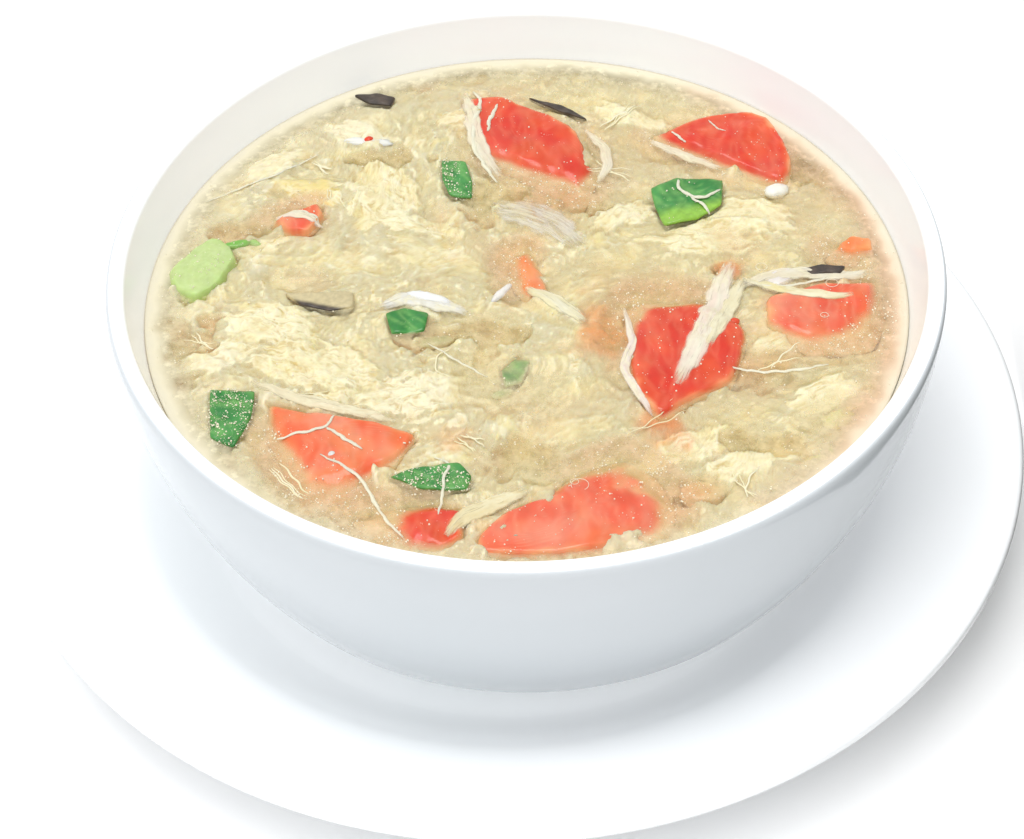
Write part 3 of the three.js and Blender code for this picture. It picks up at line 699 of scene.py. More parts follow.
# Egg curd: one uneven floating mat of overlapping torn sheets
def drift(x, y):
    """Places shifted along slow swirls, so that the folds run in curves as stirring left them."""
    shift_x = 13 * layered(x / 30, y / 30, 70, 2) + 3 * hills(x / 9, y / 9, 74)
    shift_y = 13 * layered(x / 30 + 7, y / 30 - 3, 71, 2) + 3 * hills(x / 9 - 5, y / 9, 75)
    return x + shift_x, y + shift_y


def egg_cover(ragged):
    """1 where egg reaches the surface and 0 where broth or a thick piece does, and how far it is lifted."""
    wall = eased(np.hypot(ACROSS, ALONG) + 2.6 * ragged, 71.5, 79)
    cover = 1 - 0.06 * wall
    for px, py, half_wide, half_long in POOLS:
        away = np.hypot((ACROSS - px) / half_wide, (ALONG - py) / half_long)
        cover *= eased(away + 0.8 * ragged, 0.55, 1.1)
    lift = np.zeros(ACROSS.shape)
    for piece in [*TOMATOES.values(), STALK_PIECE]:
        inside = inside_map(piece.outline)
        tongue = eased(layered(ACROSS / 8, ALONG / 8, piece.seed + 140, 3), 0.1, 0.7)
        tongue *= 1 - piece.shade_side(ACROSS, ALONG)
        cover *= 1 - eased(inside - 3.6 * tongue + 1.3 * ragged, -0.3, 2.0)
        lift = np.maximum(lift, (piece.rise + 0.7) * tongue * eased(inside, -2.5, 0.3))
    return cover, lift * cover


def glowing(colour):
    """The colour of the soup with the shine of tomato that lies close under it."""
    for x, y, half_long, half_wide, turn, strength, tone in GLOWS:
        along = ((ACROSS - x) * math.cos(turn) + (ALONG - y) * math.sin(turn)) / half_long
        across = ((ALONG - y) * math.cos(turn) - (ACROSS - x) * math.sin(turn)) / half_wide
        near = strength * (1 - eased(np.hypot(along, across) + 0.4 * RAGGED, 0.3, 1.1))
        colour = blend(colour, tone, near)
    return colour


def thin_hollows(ragged):
    """1 under the leaves and mushroom slices, where the egg gives way a little."""
    hollow = np.zeros(ACROSS.shape)
    for corners in [*LEAVES.values(), *MUSHROOMS.values()]:
        inside = inside_map(outline_through(corners, 24))
        hollow = np.maximum(hollow, eased(inside + 0.5 * ragged, -0.6, 0.9))
    return hollow


def murk():
    """How far the egg hangs below the surface where the soup is cloudy, in millimetres."""
    depth = 0.9 * eased(layered(ACROSS / 13, ALONG / 13, 87, 2), 0.1, 0.9)
    for px, py, half_wide, half_long, deep in MURKY:
        away = np.hypot((ACROSS - px) / half_wide, (ALONG - py) / half_long)
        edge = away + 0.4 * layered(ACROSS / 8, ALONG / 8, 88, 2)
        depth = np.maximum(depth, deep * (1 - eased(edge, 0.5, 1.2)))
    for piece in TOMATOES.values():
        beside = 1 - eased(np.abs(inside_map(piece.outline)), 1.0, 6.0)
        depth = np.maximum(depth, 2.4 * beside * piece.shade_side(ACROSS, ALONG))
    return depth


RAGGED = layered(ACROSS / 6, ALONG / 6, 80, 3)
COVER, TONGUES = egg_cover(RAGGED)
LUMPS = layered(ACROSS / 12, ALONG / 12, 90, 2)
BED = LEVEL - 0.22 + 0.5 * LUMPS - murk() - 3.4 * (1 - COVER) - 1.4 * thin_hollows(RAGGED) + TONGUES


class Curd:
    """The egg mat's heights and tints, lighter on crests and darker in hollows as painted light and shade,
    built up sheet by sheet; flow runs along each sheet's fibres.
    """

    def __init__(self):
        u, v = drift(ACROSS, ALONG)
        folds = creases(u / 11, v / 2.6, 91)
        wrinkles = creases(u / 5, v / 1.2, 92)
        self.height = BED - 1.0 + 0.14 * folds + 0.05 * wrinkles
        # The base tint shifts with the folds and wrinkles: painted shade by relief
        self.tint = blend("#EBD59C", EGG_YELLOW, np.clip(0.6 * folds + 0.3 * wrinkles, 0, 1))
        self.flow = np.stack([u / 6, v / 0.7, 0 * u], axis=2)

    def spread_layer(self, turn, long, short, threshold, thick, tone, opacity, soft, seed):
        """A layer of torn egg over the whole soup, ragged at every size, with fibres along the swirls."""
        u, v = drift(ACROSS, ALONG)
        turn = turn + 0.5 * hills(ACROSS / 25, ALONG / 25, seed + 9)
        along = u * np.cos(turn) + v * np.sin(turn)
        across = v * np.cos(turn) - u * np.sin(turn)
        along = along + 2.2 * layered(ACROSS / 7, ALONG / 7, seed + 1, 2)
        across = across + 1.3 * layered(ACROSS / 5, ALONG / 5, seed + 2, 3)
        body = layered(along / long, across / short, seed + 3, 5)
        threshold = threshold + 0.4 * eased(ACROSS + 0.3 * ALONG + 12 * LUMPS, -30, 40) - 0.25
        soft = soft * (0.6 + 1.2 * eased(layered(ACROSS / 11, ALONG / 11, seed + 4, 2), -0.4, 0.8))
        shown = eased(body, threshold, threshold + soft)
        folds = creases(along / (0.8 * long), across / (0.35 * short), seed + 5)
        fine = creases(along / (0.5 * long), across / (0.16 * short), seed + 6)
        domed = eased(body, threshold, threshold + 0.8)
        self.height += shown * (0.8 * thick * (0.4 + 0.6 * domed) + 0.08 * folds * domed + 0.015 * fine)
        # Fold crests and domed middles are painted paler, painted light by relief, with random tone from
        # hills
        light = 0.35 * folds + 0.25 * fine + 0.25 * domed + 0.25 * hills(ACROSS / 6, ALONG / 6, seed)
        tint = blend(EGG_YELLOW, tone, np.clip(0.35 + light, 0, 1))
        self.tint = blend(self.tint, tint, opacity * shown)
        flow = np.stack([along / 5 + seed, across / 0.6, np.full(u.shape, seed * 0.1)], axis=2)
        self.flow = np.where(shown[..., None] > 0.5, flow, self.flow)

    def lay_sheet(self, x, y, length, width, turn, bend, fan, lift, pleat, tone, soft, seed):
        """One torn sheet with folds along it; bend curves it, fan widens it, soft thins its edge."""
        part = window(x, y, 0.7 * max(length, width) + 3)
        px = ACROSS[part]
        py = ALONG[part]
        along = (px - x) * math.cos(turn) + (py - y) * math.sin(turn)
        across = (py - y) * math.cos(turn) - (px - x) * math.sin(turn)
        share = np.clip(along / length, -0.7, 0.7)
        across = (across + bend * length * share ** 2) / (1 + fan * share)
        along = along + 1.2 * layered(px / 4, py / 4, seed + 4, 3)
        across = across + 0.9 * layered(px / 4, py / 4, seed + 5, 3)
        torn = layered(along / 7, across / 2.0, seed, 4)
        edge = 1 - (2 * along / length) ** 2 - (2 * across / width) ** 2 + 0.5 * torn
        shown = eased(edge, 0.0, soft)
        broad = creases(along / 16, across / 2.6, seed + 2)
        fine = creases(along / 9, across / 0.9, seed + 3)
        domed = eased(edge, 0.0, 0.9)
        relief = lift * (0.35 + 0.65 * domed) + pleat * (0.2 * broad + 0.05 * fine) * domed
        here = self.height[part]
        self.height[part] = here + shown * (0.3 * (BED[part] - here) + relief)
        # Fold crests and domed middles are painted paler: painted light by relief
        light = pleat * (0.4 * broad + 0.3 * fine) + 0.5 * domed
        tint = blend(EGG_YELLOW, tone, np.clip(0.35 + light + 0.2 * hills(px / 5, py / 5, seed + 7), 0, 1))
        solid = eased(edge, -0.05, 1.2 * soft)
        self.tint[part] = blend(self.tint[part], tint, solid)
        flow = np.stack([along / 6 + seed * 0.37, across / 0.7, np.full(px.shape, seed * 0.11)], axis=2)
        self.flow[part] = np.where(solid[..., None] > 0.5, flow, self.flow[part])

    def finish(self):
        """Hollows are tinted a deeper yellow as painted shade, and the crests stay pale."""
        # Painted shade: places lower than their blurred surroundings take the hollow shade colour
        dark = np.clip((blurred(self.height, 0.8) - self.height) / 0.18, 0, 1)
        self.tint = blend(self.tint, EGG_HOLLOW_SHADE, 0.75 * dark)
        patch = 0.6 * eased(layered(ACROSS / 9, ALONG / 6, 97, 3), 0.1, 0.9)
        self.tint = blend(self.tint, EGG_GOLD, patch)
        # Lines: pale raised threads of egg, and a sunk crack tinted darker as painted shade
        for size, seed, tone, raised in LINES:
            bent_x = ACROSS + 2.5 * layered(ACROSS / 6, ALONG / 6, seed + 1, 3)
            bent_y = ALONG + 2.5 * layered(ACROSS / 6 + 9, ALONG / 6, seed + 1, 3)
            width = 0.04 + 0.14 * eased(layered(ACROSS / 8, ALONG / 8, seed + 2, 2), -0.4, 0.8)
            line = 1 - eased(np.abs(layered(bent_x / size, bent_y / size, seed, 2)), 0.2 * width, width)
            line *= eased(layered(ACROSS / 12, ALONG / 12, seed + 5, 3), -0.2, 0.5) * COVER
            self.height += raised * line
            self.tint = blend(self.tint, tone, 0.8 * line)
        # Small pits, sunk a little and tinted a darker yellow as painted shade in them
        pits = eased(hills(ACROSS / 2.1, ALONG / 1.7, 101) + 0.5 * LUMPS, 0.85, 1.05)
        self.height -= 0.4 * pits * COVER
        self.tint = blend(self.tint, "#C9A85C", 0.6 * pits)
        # Near the wall the mat is lowered and tinted pale: partly white glaze seen through shallow broth,
        # partly painted light against the wall's shade
        away = np.hypot(ACROSS, ALONG) + 2 * RAGGED
        self.height = self.height - 0.8 * eased(away, 68, 77) * (self.height > LEVEL - 0.3)
        self.tint = blend(self.tint, BROTH_BY_WALL_WITH_PAINTED_LIGHT, 0.8 * eased(away, 60, 76))
        for piece in TOMATOES.values():
            beside = 1 - eased(np.abs(inside_map(piece.outline, 9.0)) + 1.5 * RAGGED, 0.0, 6.0)
            glow = 0.55 * beside * (0.3 + 0.7 * piece.shade_side(ACROSS, ALONG))
            self.tint = blend(self.tint, BROTH_BLUSH, glow)
        self.tint = glowing(self.tint)


def flow_angle(x, y):
    """The direction in which the folds run at a place."""
    step = 0.5
    _, v = drift(np.array([x, x + step, x]), np.array([y, y, y + step]))
    return math.atan2((v[1] - v[0]) / step, -(v[2] - v[0]) / step)


# Fine lines over the egg, two pale and raised and one a sunk crack tinted darker as painted shade: size,
# seed, colour and height
LINES = [(9, 111, "#F8F1CE", 0.22), (5, 114, "#F8F2D4", 0.18), (7, 117, "#D8BC74", -0.15)]
# Torn layers from the lowest up: turn, length and width of shreds, threshold, thickness, tone, opacity
# and softness
TORN_LAYERS = [
    (0.0, 24, 9, -0.3, 0.5, EGG_YELLOW, 0.75, 0.9), (0.7, 16, 6, -0.1, 0.35, EGG_CREAM, 0.75, 0.7),
    (-0.6, 18, 5.5, 0.0, 0.32, EGG_CREAM, 0.85, 0.35), (0.3, 12, 4, 0.05, 0.28, EGG_WHITE, 0.85, 0.2),
    (-0.25, 13, 3.4, 0.1, 0.26, EGG_CREAM, 0.9, 0.1), (1.2, 7, 2.6, 0.25, 0.24, EGG_WHITE, 0.9, 0.06),
    (0.1, 9, 2.0, 0.28, 0.22, EGG_WHITE, 0.9, 0.06), (-0.9, 8, 2.2, 0.35, 0.22, EGG_CREAM, 0.9, 0.06),
]


def build_curd():
    curd = Curd()
    for number, layer in enumerate(TORN_LAYERS):
        curd.spread_layer(*layer, 1000 + 20 * number)
    for number, (x, y, length, width, turn, bend, fan, lift, pleat, tone) in enumerate(LARGE_SHEETS):
        curd.lay_sheet(x, y, length, width, turn, bend, fan, 0.5 * lift, pleat, tone, 0.4, 9000 + 8 * number)
    curd.finish()
    return curd


# The sheets that stand out most: x, y, length, width, turn, bend, fan, lift, depth of folds and tone
LARGE_SHEETS = [
    (-10, 58, 26, 10, 0.2, 0.1, 0.3, 1.0, 0.6, EGG_CREAM),
    (24, 57, 22, 9, -0.5, -0.2, 0.2, 1.0, 0.6, EGG_CREAM),
    (48, 24, 26, 12, -0.2, 0.2, 0.4, 1.0, 0.5, EGG_CREAM),
    (58, -30, 18, 9, 0.5, 0.1, 0, 1.0, 0.4, EGG_CREAM),
    (42, -48, 28, 9, 0.45, 0.15, 0, 1.0, 0.6, EGG_CREAM),
    (-58, 40, 30, 9, 0.6, -0.1, 0, 1.0, 0.7, EGG_CREAM),
    (-44, 34, 24, 8, -0.3, 0.2, 0.4, 0.9, 0.7, EGG_YELLOW),
    (-47, 6, 14, 7, 0.2, 0.2, 0, 0.2, 0.3, EGG_CREAM),
    (-52, -8, 24, 16, -0.4, 0.1, -0.4, 1.2, 0.5, EGG_CREAM),
    (-42, -20, 32, 17, -0.4, 0.2, 0.3, 1.3, 0.45, EGG_CREAM),
    (-62, -16, 16, 11, 0.4, 0.1, 0, 1.2, 0.4, EGG_WHITE),
    (-23, -29, 25, 15, 0.25, -0.2, 0.3, 1.4, 0.2, EGG_WHITE),
    (-30, 33, 28, 18, -1.5, 0.05, 0.85, 1.5, 0.1, EGG_CREAM),
    (-22, 22, 20, 8, -0.25, 0.2, 0.3, 1.1, 0.5, EGG_CREAM),
    (-36, 53, 20, 11, -0.4, 0.1, 0.2, 1.2, 0.25, EGG_WHITE),
    (38, 17, 30, 12, 0.15, -0.1, 0.3, 1.2, 0.6, EGG_CREAM),
    (21, 24, 18, 9, 0.5, 0.2, 0.3, 1.0, 0.7, EGG_CREAM),
    (-21, -2.5, 13, 6, -0.5, 0.1, 0, 1.3, 0.2, EGG_WHITE),
    (7, -4, 15, 5, -0.7, 0.2, 0, 1.0, 0.3, EGG_WHITE),
    (4, 20, 17, 8, -0.8, 0.1, 0.2, 0.7, 0.2, EGG_WHITE),
    (30, -44, 24, 9, 0.35, 0.1, 0.3, 0.9, 0.6, EGG_CREAM),
    (52, -14, 18, 7, 0.4, 0.3, 0, 0.7, 0.6, EGG_CREAM),
]


def disc_grid(columns, rows, radius):
    """Evenly spread points over a disc: a square grid bent to a circle, row after row."""
    a, b = np.meshgrid(np.linspace(-1, 1, columns), np.linspace(-1, 1, rows))
    a = np.where(np.abs(a) < 1e-9, 1e-9, a)
    b = np.where(np.abs(b) < 1e-9, 1e-9, b)
    wide = np.abs(a) > np.abs(b)
    reach = np.where(wide, a, b)
    angle = np.where(wide, (math.pi / 4) * (b / a), math.pi / 2 - (math.pi / 4) * (a / b))
    return (radius * reach * np.cos(angle)).ravel(), (radius * reach * np.sin(angle)).ravel()


def grid_quads(columns, rows):
    starts = (np.arange(rows - 1)[:, None] * columns + np.arange(columns - 1)[None, :]).ravel()
    return np.stack([starts, starts + 1, starts + columns + 1, starts + columns], axis=1)


def grid_edge(columns, rows):
    """The points round a grid, anticlockwise."""
    last = rows * columns - 1
    return np.concatenate([
        np.arange(columns - 1), np.arange(columns - 1, last, columns),
        np.arange(last, last - columns + 1, -1), np.arange(last - columns + 1, 0, -columns)])


def inner_radius(depth):
    outer = BOWL_RADIUS - BOWL_CURVE * depth * depth
    thickening = min(depth / WALL_THICKENS_OVER, 1)
    return outer - LIP_THICKNESS - (WALL_THICKNESS - LIP_THICKNESS) * thickening


def egg_mat(name, curd):
    """The mat as a closed body: its uneven top, an edge all round and a flat underside."""
    x, y = disc_grid(*MAT_GRID, inner_radius(SOUP_BELOW_RIM) + INTO_WALL)
    top = np.stack([BOWL_X + x, y, read(curd.height, x, y)], axis=1)
    edge = grid_edge(*MAT_GRID)
    rim = top[edge].copy()
    rim[:, 2] = LEVEL - EGG_THICKNESS
    lower = len(top) + np.arange(len(edge))
    skirt = np.stack([edge, lower, np.roll(lower, -1), np.roll(edge, -1)], axis=1)
    fan = np.stack([np.full(len(edge), lower[-1] + 1), np.roll(lower, -1), lower], axis=1)
    points = np.concatenate([top, rim, [[BOWL_X, 0, LEVEL - EGG_THICKNESS]]])
    tint = np.concatenate([read(curd.tint, x, y), np.tile(rgb(EGG_HOLLOW_SHADE), (len(edge) + 1, 1))])
    flow = np.concatenate([read(curd.flow, x, y), np.zeros((len(edge) + 1, 3))])
    make_piece(name, points, np.concatenate([grid_quads(*MAT_GRID), skirt]), fan, [EGG], tint,
               replaces=["egg_curd"], flow=flow)


# Columns and rows of the mat: finer across than along, as its folds are
MAT_GRID = (368, 262)
CURD = build_curd()


def solid_tops():
    """The highest of egg and pieces at each place."""
    tops = CURD.height.copy()
    for floating in [*TOMATOES.values(), STALK_PIECE]:
        part = window(*floating.middle, floating.reach + 1)
        covered = inside_map(floating.outline)[part] > 0.1
        top = floating.top(ACROSS[part], ALONG[part])
        tops[part] = np.where(covered, np.maximum(tops[part], top), tops[part])
    for name, corners in LEAVES.items():
        covered = inside_map(outline_through(corners, 24)) > 0.2
        tops[covered] = np.maximum(tops[covered], LEVEL + THIN_RISE.get(name, 0.6) + 0.1)
    return tops


SOLID_TOPS = solid_tops()
SURFACE = np.maximum(SOLID_TOPS, LEVEL)
SMOOTH_SURFACE = blurred(SURFACE, 1.0)


# Chunks: tomato pieces and the stalk
# Tomato flesh: main colour, colour near the cut, pale streaks, share of blotches and milkiness
FLESH = {
    "red": (TOMATO_RED, TOMATO_ORANGE, TOMATO_PALE, 0.35, 0.1),
    "salmon": ("#E85C3C", "#EE8048", "#F3A684", 0.5, 0.3),
    "pale": ("#EC6438", "#F08848", "#F6AC84", 0.5, 0.4),
    "mixed": ("#E65A3C", "#EE8448", "#F3AC88", 0.45, 0.3),
    "orange": ("#EE7437", "#F3934A", "#F7B07F", 0.5, 0.3),
}


def flesh_tint(piece, x, y):
    """Flesh with orange near the cut edges, pale streaks and a milky bloom."""
    main, edge, pale, share, milkiness = FLESH[piece.flesh]
    uneven = 1.6 * layered(x / 5, y / 5, piece.seed + 62, 2)
    inside = inside_by(piece.outline, x, y)
    near_edge = np.clip(1 - (inside + uneven) / (2.2 + 5.0 * piece.shade_side(x, y)), 0, 1)
    streaks = creases(x / 2.4 + 0.4 * hills(y / 4, x / 4, piece.seed), y / 9, piece.seed + 60)
    tint = blend(main, edge, share * eased(layered(x / 8, y / 8, piece.seed + 61, 2), -0.3, 0.6))
    tint = blend(tint, edge, 0.75 * near_edge)
    tint = blend(tint, pale, 0.3 * streaks)
    milky = milkiness * eased(layered(x / 10, y / 10, piece.seed + 64, 2), -0.4, 1.2)
    tint = blend(tint, "#F6C6A6", milky)
    return blend(tint, "#F2B27C", 0.8 * np.clip(1 - (inside + 0.8 * uneven) / 1.4, 0, 1))


def stalk_tint(piece, x, y):
    tint = blend(STALK_PALE, "#DDEBB2", 0.25 * creases(x / 1.6, y / 1.6, 31))
    return blend(tint, "#A9CC66", 0.5 * np.clip(1 - inside_by(piece.outline, x, y) / 2.0, 0, 1))


def chunk(name, piece, material, tint_of):
    """A floating piece: tapered below, widest just under the broth, with its uneven face on top."""
    underside = LEVEL + piece.rise - piece.depth
    rings = []
    outer = piece.top(*piece.outline.T)
    for share in (0.04, 0.3, 0.6, 0.85):
        scale = piece.taper + (0.985 - piece.taper) * share ** 0.6
        spot = piece.middle + (piece.outline - piece.middle) * scale
        rings.append(np.column_stack([spot, underside + (outer - piece.edge - underside) * share]))
    top_rings = 26
    for ring in range(top_rings):
        scale = 1 - (ring / top_rings) ** 1.25
        spot = piece.middle + (piece.outline - piece.middle) * scale
        rings.append(np.column_stack([spot, piece.top(*spot.T)]))
    centre_top = piece.top(piece.middle[:1], piece.middle[1:])[0]
    points, quads, tris = closed_rings(rings, [*piece.middle, underside], [*piece.middle, centre_top])
    tint = tint_of(piece, points[:, 0], points[:, 1])
    make_piece(name, points + FROM_AXIS, quads, tris, [material], tint, replaces=[name])


# Thin pieces: leaves and mushroom slices
def thin_piece(name, corners, material, rise, thickness, wave, tint_of, seed):
    outline = outline_through(corners, 56, 0.08)
    middle = outline.mean(axis=0)
    scales = [1.0, 0.93, 0.82, 0.68, 0.52, 0.35, 0.17]
    faces = []
    for side in (-1, 1):
        order = scales[::-1] if side < 0 else scales
        for scale in order:
            spot = middle + (outline - middle) * scale
            ripple = wave * layered(spot[:, 0] / 5, spot[:, 1] / 5, seed, 2)
            half = 0.5 * thickness * (0.55 if scale == 1.0 else 1.0)
            height = LEVEL + rise - 0.5 * thickness + ripple + side * half
            faces.append(np.column_stack([spot, height]))
    lift = LEVEL + rise + wave * layered(middle[:1] / 5, middle[1:] / 5, seed, 2)[0]
    points, quads, tris = closed_rings(faces, [*middle, lift - thickness], [*middle, lift])
    tint = tint_of(outline, points[:, 0], points[:, 1])
    make_piece(name, points + FROM_AXIS, quads, tris, [material], tint, replaces=[name])


def leaf_tint(outline, x, y):
    tint = blend(LEAF_DARK, "#55A552", 0.6 * eased(layered(x / 5, y / 5, 34, 2), -0.1, 0.7))
    tint = blend(tint, "#8CC46A", 0.5 * creases(x / 2.6 + 0.35 * y, y / 7.5, 33))
    return blend(tint, "#3C8A2E", 0.35 * np.clip(1 - inside_by(outline, x, y) / 1.2, 0, 1))


def striped_leaf_tint(outline, x, y):
    """The leaf with a pale stem side, which lies towards the front."""
    strip = 1 - eased(y - 0.3 * (x - 28) + 0.5 * hills(x / 2, y / 2, 36), 21.4, 25.0)
    return blend(leaf_tint(outline, x, y), "#9CCB46", 0.85 * strip)


def mushroom_tint(outline, x, y):
    return blend(MUSHROOM_DARK, "#6B5A4C", 0.4 * eased(layered(x / 2, y / 2, 35, 3), -0.4, 0.7))


def capped_mushroom_tint(outline, x, y):
    """The slice with beige flesh behind and its dark skin along the front edge."""
    return blend(mushroom_tint(outline, x, y), MUSHROOM_BEIGE, eased(y + 0.28 * (x + 42), -2.6, -1.6))


# Loose egg: strands and fine threads that lie on the mat
def tube(heap, path, radii, sides, flatness, tint):
    """A strand along a path of points, thinner where radii are small, closed at both ends."""
    path = np.asarray(path, float)
    ahead = np.gradient(path, axis=0)
    ahead /= np.linalg.norm(ahead, axis=1)[:, None] + 1e-9
    side = np.cross(ahead, [0, 0, 1])
    side /= np.linalg.norm(side, axis=1)[:, None] + 1e-9
    up = np.cross(side, ahead)
    angles = 2 * math.pi * np.arange(sides) / sides
    radii = np.asarray(radii)[:, None, None]
    ring = radii * (np.cos(angles)[None, :, None] * side[:, None, :]
                    + flatness * np.sin(angles)[None, :, None] * up[:, None, :])
    points, quads, tris = closed_rings(path[:, None, :] + ring, path[0], path[-1])
    heap.put(points + FROM_AXIS, quads[:, ::-1], tris[:, ::-1], tint)


def loose_strands():
    """Strands in small bundles that run along the folds and part a little at their ends."""
    random = np.random.RandomState(8)
    heap = Heap()
    bundle_count = 12
    steps = 18
    placed = 0
    while placed < bundle_count:
        radius = 73 * math.sqrt(random.uniform())
        angle = random.uniform(0, 2 * math.pi)
        x = radius * math.cos(angle)
        y = radius * math.sin(angle)
        if read(COVER, x, y) < 0.35:
            continue
        placed += 1
        length = random.uniform(5, 14)
        start_heading = flow_angle(x, y) + random.normal(0, 0.5)
        bend = random.normal(0, 0.09)
        wobble = random.uniform(0, 6.28)
        for _ in range(random.randint(1, 5)):
            heading = start_heading + random.normal(0, 0.25)
            side = random.normal(0, 0.9)
            here_x = x - side * math.sin(heading) - 0.5 * length * math.cos(heading)
            here_y = y + side * math.cos(heading) - 0.5 * length * math.sin(heading)
            spots = []
            for step in range(steps):
                spots.append((here_x, here_y))
                heading += bend + 0.22 * math.sin(step * 0.9 + wobble) + random.normal(0, 0.05)
                here_x += length / steps * math.cos(heading)
                here_y += length / steps * math.sin(heading)
            spots = np.array(spots)
            if np.hypot(*spots.T).max() > 76.5:
                continue
            thick = random.uniform(0.12, 0.26)
            height = read(SMOOTH_SURFACE, *spots.T) - 0.1 * thick
            height = np.convolve(np.pad(height, 2, mode="edge"), np.ones(5) / 5, "valid")
            t = np.linspace(0, 1, steps)
            radii = thick * (0.3 + 0.7 * np.sin(math.pi * t) ** 0.6)
            tone = EGG_CREAM if random.uniform() < 0.7 else EGG_WHITE
            tube(heap, np.column_stack([spots, height]), radii, 6, 0.6, rgb(tone))
    heap.make("egg_strands", EGG_VEIL)


# Threads of egg white over the tomato and leaves: paths of x and y, with the thread's width
THREADS = [
    ([(-38, -34.5), (-38.6, -36), (-39.4, -37.7), (-43, -38.6), (-49.1, -39.8)], 0.9),
    ([(-39.4, -37.7), (-36.5, -40.2), (-32.4, -43.8)], 1.0),
    ([(-40.5, -44.8), (-36, -47.6), (-32.6, -50.5), (-31, -53), (-29.5, -57.5), (-27, -62), (-24, -66)],
     0.9),
    ([(-18.5, -45.6), (-15.2, -47.2), (-16.4, -51), (-16.6, -56), (-17.5, -60.5)], 0.8),
    ([(-10.8, 66.7), (-8.6, 62.4), (-10.8, 54.8), (-10.4, 45.8), (-7.8, 40), (-5.5, 35)], 1.3),
    ([(-5.2, 61), (-7, 56), (-7.6, 51.5)], 1.1),
    ([(33.2, 34), (33.4, 31), (35.5, 28.4), (38.5, 28), (42, 30.5)], 1.1),
    ([(35.5, 28.4), (38, 26), (39.5, 23.2)], 0.9),
    ([(45, 2.5), (50, 0.6), (56.3, 0.8), (62, 2.6), (69.3, 4.7)], 0.8),
    ([(-44.5, 46), (-52, 40), (-60, 36), (-68, 31)], 0.6),
    ([(-50.5, 26.5), (-47, 26.2), (-44, 24.5), (-43.4, 22)], 0.8),
    ([(40, -23), (47, -24.5), (54, -24), (60, -22.5)], 0.9),
    ([(-20, -14), (-13, -20), (-8, -24)], 0.6),
    ([(33, 50), (34.5, 48), (35.6, 46.5)], 0.8),
    ([(41, 53.5), (43, 51), (44.5, 49.6)], 0.5),
]


def named_threads():
    heap = Heap()
    steps = 26
    for number, (knots, width) in enumerate(THREADS):
        spots = smooth_path(knots, steps)
        place = spots.T / 2
        spots = spots + 0.35 * np.stack([hills(*place, 200 + number), hills(*place, 201 + number)], axis=1)
        height = read(SURFACE, *spots.T) + 0.1
        height = np.convolve(np.pad(height, 2, mode="edge"), np.ones(5) / 5, "valid")
        t = np.linspace(0, 1, steps)
        radii = 0.42 * width * (0.4 + 0.6 * np.sin(math.pi * t) ** 0.5)
        radii = radii * (1 + 0.5 * hills(t * 9, t * 0 + number, 210))
        tube(heap, np.column_stack([spots, height]), radii, 8, 0.45, rgb(EGG_WHITE))
    heap.make("egg_white_threads", EGG_THREAD)


def thin_grid(heap, top, thickness, tints, flow):
    """A closed thin body from a grid of points on its upper face."""
    rows, columns, _ = top.shape
    upper = top.reshape(-1, 3)
    lower = upper - np.array([0, 0, thickness])
    quads = grid_quads(columns, rows)
    count = rows * columns
    edge = grid_edge(columns, rows)
    after = np.roll(edge, -1)
    rim = np.stack([edge, edge + count, after + count, after], axis=1)
    points = np.concatenate([upper, lower]) + FROM_AXIS
    faces = np.concatenate([quads, quads[:, ::-1] + count, rim])
    heap.put(points, faces, [], np.concatenate([tints, tints]), np.concatenate([flow, flow]))


def smooth_path(knots, steps):
    """Evenly spaced places along a path through the knots, with its corners rounded."""
    knots = np.array(knots, float)
    lengths = np.concatenate([[0], np.cumsum(np.linalg.norm(np.diff(knots, axis=0), axis=1))])
    fine = np.linspace(0, lengths[-1], 80)
    path = np.stack([np.interp(fine, lengths, knots[:, axis]) for axis in (0, 1)], axis=1)
    kernel = np.hanning(19)
    kernel /= kernel.sum()
    padded = np.pad(path, ((9, 9), (0, 0)), mode="reflect", reflect_type="odd")
    path = np.stack([np.convolve(padded[:, axis], kernel, "valid") for axis in (0, 1)], axis=1)
    return path[np.linspace(0, 79, steps).astype(int)]


